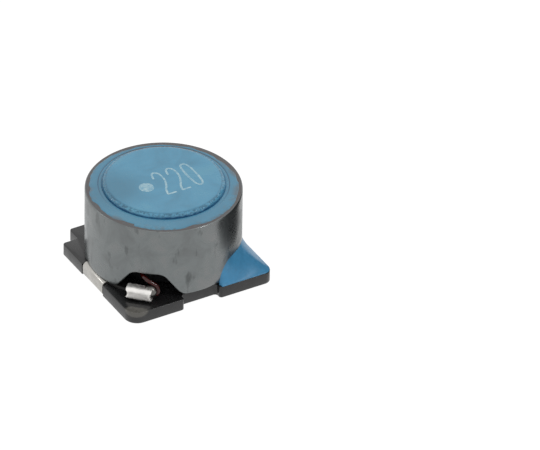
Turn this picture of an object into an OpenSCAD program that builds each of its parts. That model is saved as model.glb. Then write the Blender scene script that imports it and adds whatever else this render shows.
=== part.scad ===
// Shielded surface-mount power inductor on a 12.8 mm square base.
//
// A ferrite drum core with one enamelled copper winding is bonded to a moulded
// base plate. A ferrite shield ring stands round it on the two folded terminals.
// Blue epoxy closes the gap between drum and ring, coats the top and holds the
// ring to one corner of the base. The two wire ends leave through arches in the
// ring and are welded into the lugs of the terminals.
//
// Millimetres. Origin: centre of the footprint on the plane of the solder pads.
// +Z is up. The terminals are at -X and +X, the lugs at the corners -X-Y and +X+Y.

/* [Base plate] */
// Side of the square plate
base_w = 12.8; // [12.6:0.1:13.4]
// Thickness of the plate
base_t = 1.02; // [0.9:0.02:1.3]
// Radius of the two corners that carry the lugs
lug_corner_r = 1.1; // [0.6:0.1:1.4]
// Radius of the corner that carries the epoxy
epoxy_corner_r = 0.7; // [0.4:0.1:1]
// Length of the key notch along X
notch_x = 1.4; // [1:0.1:1.8]
// Length of the key notch along Y
notch_y = 1.45; // [1:0.05:1.8]
// Width of the set-back in the -Y edge
setback_w = 3.2; // [2.4:0.1:3.4]
// Depth of the set-back in the -Y edge
setback_d = 0.64; // [0.3:0.02:0.8]
// Small radius on the corners of notch and set-back
edge_r = 0.25; // [0.15:0.05:0.28]
// Diameter of the mould insert ring on the underside
insert_d = 3.9; // [2.5:0.1:5]
// Depth of the mould insert ring
insert_depth = 0.05; // [0.03:0.01:0.1]

/* [Terminals] */
// Thickness of the tinned strip
strip_t = 0.2; // [0.16:0.02:0.24]
// Width of the strip where it folds round the plate
strip_w = 3.2; // [2.8:0.1:3.4]
// Length of the solder pad, from the outside of the fold
pad_l = 2.15; // [1.6:0.05:2.6]
// How far the pads stand below the plate
pad_proud = 0.08; // [0.04:0.02:0.12]
// Outer radius of the two folds round the plate
fold_r = 0.4; // [0.32:0.02:0.44]
// Free space round the pad in its pocket
pocket_gap = 0.12; // [0.06:0.02:0.2]
// How far the curved arm stays inside the ring's outer face
arm_cover = 0.25; // [0.1:0.05:0.4]
// Free space between the curved arm and the drum
arm_gap = 0.1; // [0.05:0.05:0.3]
// Width of the tab that carries the lug
tab_w = 1.5; // [1.1:0.1:1.8]

/* [Lugs] */
// Width of the folded lug
lug_w = 2.07; // [1.9:0.01:2.3]
// Height of the folded lug
lug_h = 1.02; // [0.9:0.02:1.15]
// Depth of the folded lug
lug_d = 0.82; // [0.7:0.02:0.9]
// Height of the lug's underside above the plate
lug_lift = 0.2; // [0.2:0.02:0.4]
// Space between the lug and the ring's outer face
lug_gap = 0.12; // [0.08:0.02:0.3]
// Depth of the waist that the crimping tool leaves
waist_d = 0.1; // [0.04:0.02:0.14]
// Diameter of the weld bead
bead_d = 1.1; // [0.9:0.05:1.2]
// How far the bead's centre lies behind the middle of the lug
bead_sink = 0.14; // [0.05:0.01:0.2]

/* [Shield ring] */
// How far the ring stays inside the plate's edges
ring_inset = 0.15; // [0.13:0.01:0.4]
// Height of the ring
shield_h = 6.15; // [5.8:0.05:6.6]
// Wall of the ring
shield_wall = 1.02; // [0.9:0.02:1.2]
// Chamfer on the ring's outer edges
shield_edge = 0.1; // [0.05:0.01:0.15]
// Turn of the arches away from the diagonal
shield_turn = 4.3; // [0:0.1:6]
// Height of the two arches
arch_h = 1.95; // [1.85:0.05:2.2]
// Width of an arch at its top
arch_top_w = 2.5; // [2.4:0.1:3]
// Width of an arch at its foot
arch_foot_w = 5.3; // [4.8:0.1:5.6]
// Radius that rounds the arch's top corners and its feet
arch_r = 1; // [0.6:0.1:1.1]

/* [Drum core] */
// Magnetic gap between the drum's flanges and the ring's bore
air_gap = 0.28; // [0.24:0.02:0.34]
// Diameter of the neck that carries the winding
neck_d = 5.2; // [4.4:0.1:5.6]
// Thickness of each flange
flange_t = 1.1; // [0.9:0.05:1.15]
// How far the drum's top stands above the ring
drum_proud = 0.35; // [0.2:0.05:0.5]
// Chamfer on the edges that face the gap at the top
gap_edge = 0.15; // [0.12:0.01:0.18]

/* [Winding] */
// Diameter of the enamelled wire
wire_d = 0.4; // [0.3:0.02:0.44]
// Layers of wire on the neck
coil_layers = 4; // [2:1:5]
// Space between a wire end and the top of its arch
lead_gap = 0.18; // [0.12:0.02:0.24]

/* [Epoxy] */
// Adhesive under the drum
bond_t = 0.05; // [0.03:0.01:0.1]
// Diameter of the adhesive patch under the drum
bond_d = 8; // [5:0.5:9]
// Thickness of the coat on drum and ring
coat_t = 0.04; // [0.03:0.01:0.08]
// Bare rim that the coat leaves on the ring
coat_inset = 0.18; // [0.12:0.02:0.5]
// Depth of the epoxy in the gap, from the drum's top
fill_depth = 0.95; // [0.6:0.05:1.05]
// Height of the corner epoxy on the ring's wall
fillet_h = 1.75; // [1:0.05:2.2]
// Share by which it climbs higher on its -Y half than on its +X half
fillet_lean = 0.25; // [0:0.05:0.4]
// Half of the angle that the corner epoxy covers
fillet_span = 29; // [22:1:29]
// Set-back of the corner epoxy from the plate's edges
fillet_inset = 0.03; // [0.01:0.01:0.1]
// Thickness of the corner epoxy at the plate's edge
fillet_rim = 0.08; // [0.04:0.02:0.2]

/* [Hidden] */
$fn = 72;
arc_steps = 6;
fit = 0.01;                                  // clearance between curved faces that meet
slack = 0.02;                                // clearance of the strip in its recess
half = base_w / 2;
base_top = pad_proud + base_t;
strip_top = base_top + strip_t;
recess_w = strip_w + 2 * pocket_gap;
recess_r = fold_r - strip_t + 0.05;          // a little rounder than the inside of the fold
shield_r = half - ring_inset;
bore_r = shield_r - shield_wall;
shield_z = strip_top;
shield_top = shield_z + shield_h;
flange_r = bore_r - air_gap;
neck_r = neck_d / 2;
drum_z = base_top + bond_t;
drum_top = shield_top + drum_proud;
drum_h = drum_top - drum_z;
coil_z = drum_z + flange_t;
coil_h = drum_h - 2 * flange_t;
coil_turns = floor(coil_h / (wire_d * 1.02));
coil_pitch = coil_h / coil_turns;
wire_r = wire_d / 2;
coil_r = neck_r + coil_layers * wire_d;
arm_in = flange_r + arm_gap;
arm_out = shield_r - arm_cover;
lug_angle = -135;                            // the lugs lie on this diagonal
lug_z = base_top + lug_lift;
lug_top = lug_z + lug_h;
lug_back = shield_r + lug_gap;
lug_front = lug_back + lug_d;
lug_mid = lug_z + lug_h / 2;
crimp_x = lug_back + (lug_d - strip_t) / 2;  // middle of the hollow in the lug
bead_r = bead_d / 2;
bead = [crimp_x - bead_sink, lug_w / 2 - bead_r * 0.45, lug_top - bead_r * 0.7];
coat_z = shield_top + coat_t;
cap_z = drum_top + coat_t;
fillet_angle = -45;

// ---------------------------------------------------------------- helpers

function unit(v) = v / norm(v);

// Points of the arc that rounds corner b of the path a, b, c with radius r.
function corner_arc(a, b, c, r) =
    let (u = unit(a - b), v = unit(c - b),
         bend = acos(u * v) / 2,
         centre = b + unit(u + v) * r / sin(bend),
         from = b + u * r / tan(bend) - centre,
         to = b + v * r / tan(bend) - centre,
         start = atan2(from[1], from[0]),
         turn = atan2(from[0] * to[1] - from[1] * to[0], from * to))
    [for (i = [0 : arc_steps])
        centre + r * [cos(start + turn * i / arc_steps), sin(start + turn * i / arc_steps)]];

// A closed outline of [x, y, radius] corners with its corners rounded.
function rounded(corners) =
    let (n = len(corners))
    [for (i = [0 : n - 1])
        let (b = corners[i], a = corners[(i + n - 1) % n], c = corners[(i + 1) % n])
        each b[2] == 0 ? [[b[0], b[1]]]
           : corner_arc([a[0], a[1]], [b[0], b[1]], [c[0], c[1]], b[2])];

// An outline in the X-Z plane, made into a bar of width w centred on Y = 0.
module bar(corners, w)
    translate([0, w / 2, 0]) rotate([90, 0, 0])
        linear_extrude(w) polygon(rounded(corners));

// Turns a lug's own frame (X outward, Y along the lug) into place at its corner.
module at_lug() rotate(lug_angle) children();

// A wedge of a ring between two radii and two angles, in the plane.
module ring_sector(r_in, r_out, from, to)
    intersection() {
        difference() {
            circle(r_out);
            circle(r_in);
        }
        polygon([[0, 0], for (i = [0 : 3])
            2 * r_out * [cos(from + (to - from) * i / 3), sin(from + (to - from) * i / 3)]]);
    }

// ------------------------------------------------------------- base plate

function plate_outline() = rounded([
    [-half, -half, lug_corner_r],
    [-setback_w / 2, -half, edge_r],
    [-setback_w / 2, -half + setback_d, edge_r],
    [setback_w / 2, -half + setback_d, edge_r],
    [setback_w / 2, -half, edge_r],
    [half, -half, epoxy_corner_r],
    [half, half, lug_corner_r],
    [-half + notch_x, half, edge_r],
    [-half + notch_x, half - notch_y, edge_r],
    [-half, half - notch_y, edge_r]]);

// Room for one terminal: the edge is cut back and the rounded tongue that the
// strip folds round is left standing.
module terminal_recess() {
    depth = strip_t + slack;
    reach = pad_l + pocket_gap;
    difference() {
        translate([-half - 1, -recess_w / 2, -1])
            cube([reach + 1, recess_w, base_top + 2]);
        bar([[-half + depth, depth, recess_r],
             [-half + reach + 1, depth, 0],
             [-half + reach + 1, base_top, 0],
             [-half + depth, base_top, recess_r]], recess_w + 1);
        translate([-half + reach - 0.5, -recess_w / 2 - 1, depth])
            cube([2, recess_w + 2, base_top + 2]);
    }
}

module base_plate() {
    ring_w = 0.15;
    color("#2f2f31")
    difference() {
        translate([0, 0, pad_proud]) linear_extrude(base_t) polygon(plate_outline());
        for (turn = [0, 180]) rotate(turn) terminal_recess();
        translate([0, 0, pad_proud - 1]) linear_extrude(1 + insert_depth)
            difference() {
                circle(insert_d / 2);
                circle(insert_d / 2 - ring_w);
            }
    }
}

// -------------------------------------------------------------- terminals

// Pad, side and upper leg: one strip folded round the edge of the plate.
module folded_strip()
    bar([[-half + pad_l, 0, 0],
         [-half, 0, fold_r],
         [-half, strip_top, fold_r],
         [-arm_in, strip_top, 0],
         [-arm_in, base_top, 0],
         [-half + strip_t, base_top, fold_r - strip_t],
         [-half + strip_t, strip_t, fold_r - strip_t],
         [-half + pad_l, strip_t, 0]], strip_w);

// The flat arm that runs under the ring from the leg to the corner.
module curved_arm() {
    leg_angle = asin(strip_w / 2 / arm_out);
    tab_angle = asin(tab_w / 2 / arm_out);
    translate([0, 0, base_top]) linear_extrude(strip_t)
        ring_sector(arm_in, arm_out, 180 - leg_angle, 360 + lug_angle + tab_angle);
}

// The tab rises off the plate beyond the arm.
module lug_tab() {
    rise_from = arm_out - 0.1;
    rise_to = lug_back - 0.1;
    bar([[arm_in + 0.2, base_top, 0],
         [rise_from, base_top, 0],
         [rise_to, lug_z, 0],
         [lug_front - fold_r, lug_z, 0],
         [lug_front - fold_r, lug_z + strip_t, 0],
         [rise_to - 0.05, lug_z + strip_t, 0],
         [rise_from - 0.05, strip_top, 0],
         [arm_in + 0.2, strip_top, 0]], tab_w);
}

// The end of the strip, folded back over the wire and crimped.
module folded_lug() {
    waist_r = 0.5;
    difference() {
        bar([[lug_back, lug_z, 0],
             [lug_front, lug_z, 0.15],
             [lug_front, lug_top, 0.3],
             [lug_back, lug_top, 0],
             [lug_back, lug_top - strip_t, 0],
             [lug_front - strip_t, lug_top - strip_t, 0.1],
             [lug_front - strip_t, lug_z + strip_t, 0.1],
             [lug_back, lug_z + strip_t, 0]], lug_w);
        for (side = [-1, 1])
            translate([lug_back - 1, side * (lug_w / 2 + waist_r - waist_d), lug_mid])
                rotate([0, 90, 0]) cylinder(r = waist_r, h = lug_d + 2);
    }
}

module terminal() {
    folded_strip();
    curved_arm();
    at_lug() {
        lug_tab();
        folded_lug();
    }
}

module terminal_a() color("#c9c7c2") terminal();

module terminal_b() color("#c9c7c2") rotate(180) terminal();

// ------------------------------------------------------- core and winding

module drum_adhesive()
    color("#b9b09a") translate([0, 0, base_top]) cylinder(d = bond_d, h = bond_t);

module drum_core()
    color("#5b5d5f")
    rotate_extrude() polygon([
        [0, drum_z],
        [flange_r - gap_edge, drum_z],
        [flange_r, drum_z + gap_edge],
        [flange_r, coil_z],
        [neck_r, coil_z],
        [neck_r, coil_z + coil_h],
        [flange_r, coil_z + coil_h],
        [flange_r, drum_top - gap_edge],
        [flange_r - gap_edge, drum_top],
        [0, drum_top]]);

// Route of one wire end in the lug's frame: off the coil, out through the arch,
// down behind the bead and back into the hollow of the lug.
lead_z = shield_z + arch_h - lead_gap - wire_r;
wall_x = (bore_r + shield_r) / 2;
exit_x = shield_r + wire_r / 2;
function arch_y(x) = x * sin(shield_turn);
crimp_z = lug_z + strip_t + wire_r + slack;
bend_r = wire_d * 0.8;
bend_y = bead[1] + bead_r + wire_r / 2 - bend_r;
function behind_bead(angle) =
    let (d = bead_r + wire_r / 2)
    [exit_x, bead[1] + d * cos(angle), bead[2] + d * sin(angle)];
function under_bead(angle) =
    [exit_x + bend_r * (1 - angle / 90) / 4, bend_y + bend_r * cos(angle),
     crimp_z + bend_r + bend_r * sin(angle)];
lead_route = [
    [coil_r - wire_r * 3.5, -arch_top_w * 0.76, lead_z],
    [coil_r + wire_r * 3.5, arch_y(coil_r) - arch_top_w * 0.42, lead_z],
    [wall_x, arch_y(wall_x) - arch_top_w * 0.22, lead_z],
    [exit_x, arch_y(exit_x) - arch_top_w * 0.02, lead_z - wire_r / 4],
    behind_bead(60),
    behind_bead(32),
    under_bead(0),
    under_bead(-45),
    under_bead(-90),
    [crimp_x, lug_w * 0.35, crimp_z],
    [crimp_x, -lug_w / 4, crimp_z]];

// A point on the smooth curve through the points p, from p[i] to p[i + 1].
function on_curve(p, i, s) =
    let (n = len(p) - 1, a = p[max(i - 1, 0)], b = p[i], c = p[i + 1], d = p[min(i + 2, n)])
    0.5 * (2 * b + (c - a) * s + (2 * a - 5 * b + 4 * c - d) * s * s
           + (3 * b - a - 3 * c + d) * s * s * s);

function smooth(p, steps) = concat(
    [for (i = [0 : len(p) - 2], k = [0 : steps - 1]) on_curve(p, i, k / steps)],
    [p[len(p) - 1]]);

// The two triangles between points j and k of one outline and of the next.
function two_triangles(a, b, k, j) = [[a + j, a + k, b + k], [a + j, b + k, b + j]];

// A round wire swept along a path.
module wire(path, r, sides = 10) {
    n = len(path);
    rings = [for (i = [0 : n - 1])
        let (ahead = unit(path[min(i + 1, n - 1)] - path[max(i - 1, 0)]),
             across = unit(cross(ahead, [1, 0, 0])), over = cross(ahead, across))
        for (k = [0 : sides - 1])
            path[i] + r * (cos(360 * k / sides) * across + sin(360 * k / sides) * over)];
    polyhedron(rings, concat(
        [[for (k = [0 : sides - 1]) k]],
        [for (i = [0 : n - 2], k = [0 : sides - 1])
            each two_triangles(i * sides, (i + 1) * sides, k, (k + 1) % sides)],
        [[for (k = [sides - 1 : -1 : 0]) (n - 1) * sides + k]]));
}

module wire_end() at_lug() wire(smooth(lead_route, 4), wire_r);

module winding()
    color("#7c3f26") {
        rotate_extrude() {
            translate([neck_r + fit, coil_z + fit])
                square([coil_r - wire_r - neck_r - fit, coil_h - 2 * fit]);
            for (i = [0 : coil_turns - 1])
                translate([coil_r - wire_r, coil_z + (i + 0.5) * coil_pitch]) circle(wire_r);
        }
        for (turn = [0, 180]) rotate(turn) wire_end();
    }

// ------------------------------------------------------------ shield ring

// The opening of an arch, its foot on the axis, seen from outside.
function arch_outline() = rounded([
    [-arch_foot_w / 2 - arch_r, -1, 0],
    [-arch_foot_w / 2 - arch_r, 0, 0],
    [-arch_foot_w / 2, 0, arch_r * 0.8],
    [-arch_top_w / 2, arch_h, arch_r],
    [arch_top_w / 2, arch_h, arch_r],
    [arch_foot_w / 2, 0, arch_r * 0.8],
    [arch_foot_w / 2 + arch_r, 0, 0],
    [arch_foot_w / 2 + arch_r, -1, 0]]);

module shield_ring()
    color("#75797b")
    difference() {
        rotate_extrude() polygon([
            [bore_r, shield_z],
            [shield_r - shield_edge, shield_z],
            [shield_r, shield_z + shield_edge],
            [shield_r, shield_top - shield_edge],
            [shield_r - shield_edge, shield_top],
            [bore_r + gap_edge, shield_top],
            [bore_r, shield_top - gap_edge]]);
        rotate(lug_angle + shield_turn) translate([-half * 1.5, 0, shield_z])
            rotate([90, 0, 90]) linear_extrude(base_w * 1.5) polygon(arch_outline());
    }

// ------------------------------------------------------------------ epoxy

// Coat on drum and ring, in one piece with the fill of the gap below its groove.
module top_epoxy() {
    collar = 2 * coat_t;                     // the coat is thicker round the drum's edge
    color("#4f93b8")
    rotate_extrude() polygon([
        [0, drum_top],
        [flange_r - gap_edge, drum_top],
        [flange_r + fit, drum_top - gap_edge - fit],
        [flange_r + fit, drum_top - fill_depth],
        [bore_r - fit, drum_top - fill_depth],
        [bore_r - fit, shield_top - gap_edge - fit],
        [bore_r + gap_edge, shield_top],
        [shield_r - coat_inset, shield_top],
        [shield_r - coat_inset - coat_t, coat_z],
        [flange_r + 2 * collar, coat_z],
        [flange_r + collar, drum_top - gap_edge],
        [flange_r - gap_edge + collar / 2, cap_z],
        [0, cap_z]]);
}

// Distance from the centre to the plate's outline at an angle off the diagonal.
function to_edge(off) =
    let (r = epoxy_corner_r - fillet_inset, c = (half - epoxy_corner_r) * sqrt(2),
         flat = (half - fillet_inset) / cos(45 - abs(off)))
    flat * sin(45 - abs(off)) < half - epoxy_corner_r ? flat
        : c * cos(off) + sqrt(r * r - pow(c * sin(off), 2));

// Share of the full height that the epoxy reaches on the wall.
function climb(off) = pow(max(0, 1 - pow(abs(off) / fillet_span, 4)), 0.6)
                      * (1 - fillet_lean * off / fillet_span);

// Fillet from the plate's edges up to the ring's wall, one radial slice after another.
module corner_epoxy() {
    slices = 40;
    steps = 7;
    step = 2 * fillet_span / slices;
    wall = (shield_r + fit) / cos(step / 2);
    ring = steps + 2;
    points = [for (i = [0 : slices])
        let (off = -fillet_span + i * step, a = fillet_angle + off, edge = to_edge(off),
             rise = max(fillet_rim, fillet_h * climb(off)) - fillet_rim)
        each concat([[wall * cos(a), wall * sin(a), base_top],
                     [edge * cos(a), edge * sin(a), base_top]],
            [for (k = [0 : steps])
                let (s = k / steps, r = edge + (wall - edge) * s)
                [r * cos(a), r * sin(a), base_top + fillet_rim + rise * pow(s, 1.25)]])];
    n = ring + 1;
    color("#3f7fa8")
    polyhedron(points, concat(
        [[for (k = [0 : n - 1]) k]],
        [for (i = [0 : slices - 1], k = [0 : n - 1])
            each two_triangles(i * n, (i + 1) * n, k, (k + 1) % n)],
        [[for (k = [n - 1 : -1 : 0]) slices * n + k]]));
}

// ------------------------------------------------------------ weld beads

// A molten drop at the end of the lug, cast round the wire that enters it.
module weld_bead()
    at_lug() difference() {
        translate(bead) sphere(bead_r);
        translate([lug_back, -lug_w / 2, lug_z]) cube([lug_d, lug_w, lug_h]);
        lug_tab();
        wire(smooth(lead_route, 4), wire_r + fit);
    }

module weld_bead_a() color("#d8d6d0") weld_bead();

module weld_bead_b() color("#d8d6d0") rotate(180) weld_bead();

// ------------------------------------------------------------------ parts

base_plate();
terminal_a();
terminal_b();
drum_adhesive();
drum_core();
winding();
shield_ring();
top_epoxy();
corner_epoxy();
weld_bead_a();
weld_bead_b();
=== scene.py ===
"""Shielded surface-mount inductor: moulded base, folded tin-plated terminals, ferrite drum and
shield ring, enamelled copper winding and blue epoxy, with a plain studio stage.

Metres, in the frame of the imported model. Shapes are worked out in millimetres."""

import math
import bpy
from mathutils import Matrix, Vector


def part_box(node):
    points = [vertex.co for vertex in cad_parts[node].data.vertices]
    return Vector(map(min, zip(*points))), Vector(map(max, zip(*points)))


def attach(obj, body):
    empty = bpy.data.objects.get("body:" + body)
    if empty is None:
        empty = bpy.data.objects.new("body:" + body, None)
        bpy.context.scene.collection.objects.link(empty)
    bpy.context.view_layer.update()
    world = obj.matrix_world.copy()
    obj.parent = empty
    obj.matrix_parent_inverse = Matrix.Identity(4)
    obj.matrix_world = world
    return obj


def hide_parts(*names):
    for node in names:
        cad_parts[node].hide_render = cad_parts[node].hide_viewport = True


bl_info = {
    "name": "Shielded Inductor",
    "version": (1, 0, 0),
    "blender": (4, 5, 0),
    "location": "View3D > Sidebar > Inductor",
    "description": "Builds a shielded surface-mount inductor round its packed model",
    "category": "Object",
}

import bmesh
import bpy
from bpy.props import (BoolProperty, FloatProperty, FloatVectorProperty, IntProperty,
                       PointerProperty, StringProperty)
from mathutils import Matrix, Vector, noise

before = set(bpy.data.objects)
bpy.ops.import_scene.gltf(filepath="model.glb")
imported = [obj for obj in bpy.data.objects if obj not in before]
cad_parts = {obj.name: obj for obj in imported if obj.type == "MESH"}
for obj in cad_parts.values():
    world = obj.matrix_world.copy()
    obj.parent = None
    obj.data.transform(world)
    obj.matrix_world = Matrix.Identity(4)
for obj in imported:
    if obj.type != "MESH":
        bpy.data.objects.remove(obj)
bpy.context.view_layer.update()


# ------------------------------------------------------------------ sizes of the part, in mm

RING_WALL = 1.02
# the coat's thickness on the ring's face
FILM = 0.034
# the drum is set by hand, a little off the ring's centre
DRUM_SET = Vector((0.19, 0.34))
DRUM_FLANGE_H = 1.1
NECK_R = 2.6
ARCH_H = 1.95
# one lug faces this way and the other the opposite way; the arches are turned a little past it
LUG_AXIS = math.radians(-135)
ARCH_TURN = math.radians(4.3)
TAB_WIDTH = 1.5
# how far a solder pad reaches in from the plate's side
PAD_REACH = 2.15
# radius of the plate's corner under the epoxy fillet
CORNER_R = 0.7


def node_box(node):
    """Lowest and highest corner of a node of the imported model, in mm."""
    low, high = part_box(node)
    return Vector(low) * 1000, Vector(high) * 1000


PLATE_LOW, PLATE_HIGH = node_box("base_plate")
RING_LOW, RING_HIGH = node_box("shield_ring")
DRUM_LOW, DRUM_HIGH = node_box("drum_core")
COAT_LOW, COAT_HIGH = node_box("top_epoxy")
HALF = PLATE_HIGH.x
PLATE_TOP = PLATE_HIGH.z
STRIP = RING_LOW.z - PLATE_HIGH.z
RING_R = RING_HIGH.x
BORE_R = RING_R - RING_WALL
RING_BASE = RING_LOW.z
RING_TOP = RING_HIGH.z
FLANGE_R = DRUM_HIGH.x
DRUM_TOP = DRUM_HIGH.z
COAT_TOP = COAT_HIGH.z
FILM_TOP = RING_TOP + FILM
FILL_BASE = COAT_LOW.z
# the visible drum is turned smaller than its node, because it sits off the centre
CORE_R = FLANGE_R - 0.35


# ------------------------------------------------------------------ small helpers

def linear(code):
    """An sRGB hex colour such as #75797b as linear red, green and blue."""
    def channel(pair):
        v = int(pair, 16) / 255
        return v / 12.92 if v <= 0.04045 else ((v + 0.055) / 1.055) ** 2.4
    return tuple(channel(code[i:i + 2]) for i in (1, 3, 5))


def lumps(x, y, z, size):
    """Smooth noise between about -1 and 1 whose lumps are size mm across."""
    return noise.noise(Vector((x, y, z)) / size)


def corner_arc(a, b, c, r, steps):
    """Points of the arc of radius r that rounds corner b of the path a, b, c."""
    a, b, c = Vector(a), Vector(b), Vector(c)
    u, v = (a - b).normalized(), (c - b).normalized()
    half = u.angle(v) / 2
    centre = b + (u + v).normalized() * r / math.sin(half)
    start = b + u * r / math.tan(half) - centre
    end = b + v * r / math.tan(half) - centre
    turn = math.atan2(start.x * end.y - start.y * end.x, start.dot(end))
    first = math.atan2(start.y, start.x)
    return [centre + r * Vector((math.cos(first + turn * i / steps),
                                 math.sin(first + turn * i / steps))) for i in range(steps + 1)]


def rounded(corners, steps=8):
    """The outline through (x, y, radius) corners with each corner rounded."""
    n, out = len(corners), []
    for i, (x, y, r) in enumerate(corners):
        if r == 0:
            out.append(Vector((x, y)))
        else:
            out += corner_arc(corners[i - 1][:2], (x, y), corners[(i + 1) % n][:2], r, steps)
    return out


def stepped(path, step):
    """A path with points added on its long stretches, about step mm apart, without its end."""
    out = []
    for p, q in zip(path, path[1:]):
        parts = max(1, round((q - p).length / step))
        out += [p.lerp(q, k / parts) for k in range(parts)]
    return out


def grid(rows, wrap_rows=False, wrap_cols=False):
    """Vertices and four-sided faces through rows of points, outward for rows going up a wall
    that runs anticlockwise."""
    count, width = len(rows), len(rows[0])
    verts = [p for row in rows for p in row]
    faces = []
    for i in range(count if wrap_rows else count - 1):
        for j in range(width if wrap_cols else width - 1):
            a, b = i * width, (i + 1) % count * width
            k = (j + 1) % width
            faces.append((a + j, a + k, b + k, b + j))
    return verts, faces


def capped(rows, clockwise=False):
    """A closed shell: rows that each run round, with a flat face on the first and the last."""
    verts, faces = grid(rows, wrap_cols=True)
    n = len(rows[0])
    faces.append(tuple(reversed(range(n))))
    faces.append(tuple(range(len(verts) - n, len(verts))))
    if clockwise:
        faces = [tuple(reversed(face)) for face in faces]
    return verts, faces


def carried(rows):
    """A closed shell: an outline whose corners are each carried along a row, with its ends
    closed."""
    verts, faces = grid(rows, wrap_rows=True)
    n, w = len(rows), len(rows[0])
    faces.append(tuple(i * w for i in range(n)))
    faces.append((w - 1, *(i * w - 1 for i in range(n, 1, -1))))
    return verts, faces


def circle(r, sides, z=0.0, centre=(0, 0)):
    """Points of a level circle, anticlockwise."""
    return [(centre[0] + r * math.cos(2 * math.pi * k / sides),
             centre[1] + r * math.sin(2 * math.pi * k / sides), z) for k in range(sides)]


def prism(outline, low, high):
    """A closed upright prism over an anticlockwise outline."""
    n = len(outline)
    verts = [(p[0], p[1], low) for p in outline] + [(p[0], p[1], high) for p in outline]
    faces = [tuple(reversed(range(n))), tuple(range(n, 2 * n))]
    faces += [(i, (i + 1) % n, n + (i + 1) % n, n + i) for i in range(n)]
    return verts, faces


def bar(outline, width):
    """A closed bar: an outline in X and Z, carried along Y over the width."""
    verts, faces = prism(outline, -width / 2, width / 2)
    return [(x, -z, y) for x, y, z in verts], faces


def tube(path, radius, sides):
    """A round wire along a path, with its frame carried along so that it never twists."""
    path = [Vector(p) for p in path]
    side = Vector((0, 0, 1)).cross(path[1] - path[0])
    if side.length < 1e-6:
        side = Vector((1, 0, 0))
    rows = []
    for i, p in enumerate(path):
        ahead = (path[min(i + 1, len(path) - 1)] - path[max(i - 1, 0)]).normalized()
        side = (side - ahead * side.dot(ahead)).normalized()
        over = ahead.cross(side)
        rows.append([p + radius * (x * side + y * over) for x, y, z in circle(1, sides)])
    return capped(rows)


def curve_through(points, steps):
    """A smooth curve through points."""
    p = [Vector(q) for q in points]
    out = []
    for i in range(len(p) - 1):
        a, b, c, d = p[max(i - 1, 0)], p[i], p[i + 1], p[min(i + 2, len(p) - 1)]
        for k in range(steps):
            s = k / steps
            out.append(0.5 * (2 * b + (c - a) * s + (2 * a - 5 * b + 4 * c - d) * s * s
                              + (3 * b - a - 3 * c + d) * s ** 3))
    return out + [p[-1]]


def turned(shell, angle):
    """A shell turned about Z."""
    turn = Matrix.Rotation(angle, 3, "Z")
    return [turn @ Vector(v) for v in shell[0]], shell[1]


def joined(*shells):
    """Several (verts, faces) shells as one."""
    verts, faces = [], []
    for v, f in shells:
        faces += [tuple(i + len(verts) for i in face) for face in f]
        verts += list(v)
    return verts, faces


def bare_mesh(name, shell):
    """A mesh from a shell in mm."""
    verts, faces = shell
    mesh = bpy.data.meshes.new(name)
    mesh.from_pydata([Vector(v) / 1000 for v in verts], [], faces)
    mesh.update()
    return mesh


def cut(obj, cutters):
    """Takes closed shells out of an object and leaves only its mesh."""
    helpers = []
    for i, shell in enumerate(cutters):
        helper = bpy.data.objects.new(f"{obj.name}_cutter_{i}", bare_mesh("cutter", shell))
        bpy.context.scene.collection.objects.link(helper)
        mod = obj.modifiers.new("cut", "BOOLEAN")
        mod.operation, mod.solver, mod.object = "DIFFERENCE", "EXACT", helper
        helpers.append(helper)
    settle(obj)
    for helper in helpers:
        bpy.data.objects.remove(helper)


def settle(obj):
    """Turns an object's modifiers into its plain mesh."""
    bpy.context.view_layer.update()
    made = bpy.data.meshes.new_from_object(
        obj.evaluated_get(bpy.context.evaluated_depsgraph_get()))
    obj.modifiers.clear()
    obj.data = made


def soften(obj, width, segments=3, angle=40):
    """Rounds the sharp edges of an object by width mm."""
    mod = obj.modifiers.new("edges", "BEVEL")
    mod.width, mod.segments = width / 1000, segments
    mod.limit_method, mod.angle_limit = "ANGLE", math.radians(angle)
    settle(obj)


def merge_points(obj):
    """Joins points that lie on each other and drops the faces that fold flat."""
    work = bmesh.new()
    work.from_mesh(obj.data)
    bmesh.ops.remove_doubles(work, verts=work.verts, dist=1e-8)
    bmesh.ops.recalc_face_normals(work, faces=work.faces)
    work.to_mesh(obj.data)
    work.free()


def new_object(name, shell):
    """A piece from a shell in mm."""
    obj = bpy.data.objects.new(name, bare_mesh(name, shell))
    bpy.context.scene.collection.objects.link(obj)
    return obj


def dress(obj, materials, slot, *nodes, sharp=35):
    """Gives a piece its material, smooth shading up to the sharp angle, its body and its node."""
    for material in materials:
        obj.data.materials.append(material)
    obj.data.polygons.foreach_set("use_smooth", [True] * len(obj.data.polygons))
    obj.data.set_sharp_from_angle(angle=math.radians(sharp))
    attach(obj, "root")
    if nodes:
        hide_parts(*nodes)
    return obj


# ------------------------------------------------------------------ materials

def add_node(tree, kind, inputs=(), stops=(), **settings):
    """Adds a node with its settings and links. inputs pairs a socket with a value or with the
    socket that feeds it; stops are the positions and linear colours of a colour ramp."""
    node = tree.nodes.new(kind)
    for key, value in settings.items():
        setattr(node, key, value)
    for key, value in dict(inputs).items():
        if isinstance(value, bpy.types.NodeSocket):
            tree.links.new(value, node.inputs[key])
        else:
            node.inputs[key].default_value = value
    if stops:
        elements = node.color_ramp.elements
        while len(elements) < len(stops):
            elements.new(0.5)
        for element, (at, colour) in zip(elements, stops):
            element.position = at
            element.color = (*colour, 1)
    return node


def new_material(name):
    """A material and its empty tree."""
    material = bpy.data.materials.new(name)
    material.use_nodes = True
    tree = material.node_tree
    tree.nodes.clear()
    return material, tree


def finished(material, looks):
    """Ends a material with its principled shader; looks are the shader's inputs."""
    tree = material.node_tree
    shader = add_node(tree, "ShaderNodeBsdfPrincipled", looks)
    add_node(tree, "ShaderNodeOutputMaterial", {"Surface": shader.outputs[0]})
    return material


def pattern_scale(size):
    """Noise scale that gives lumps of size mm in coordinates in metres."""
    return 1000 / size


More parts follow.
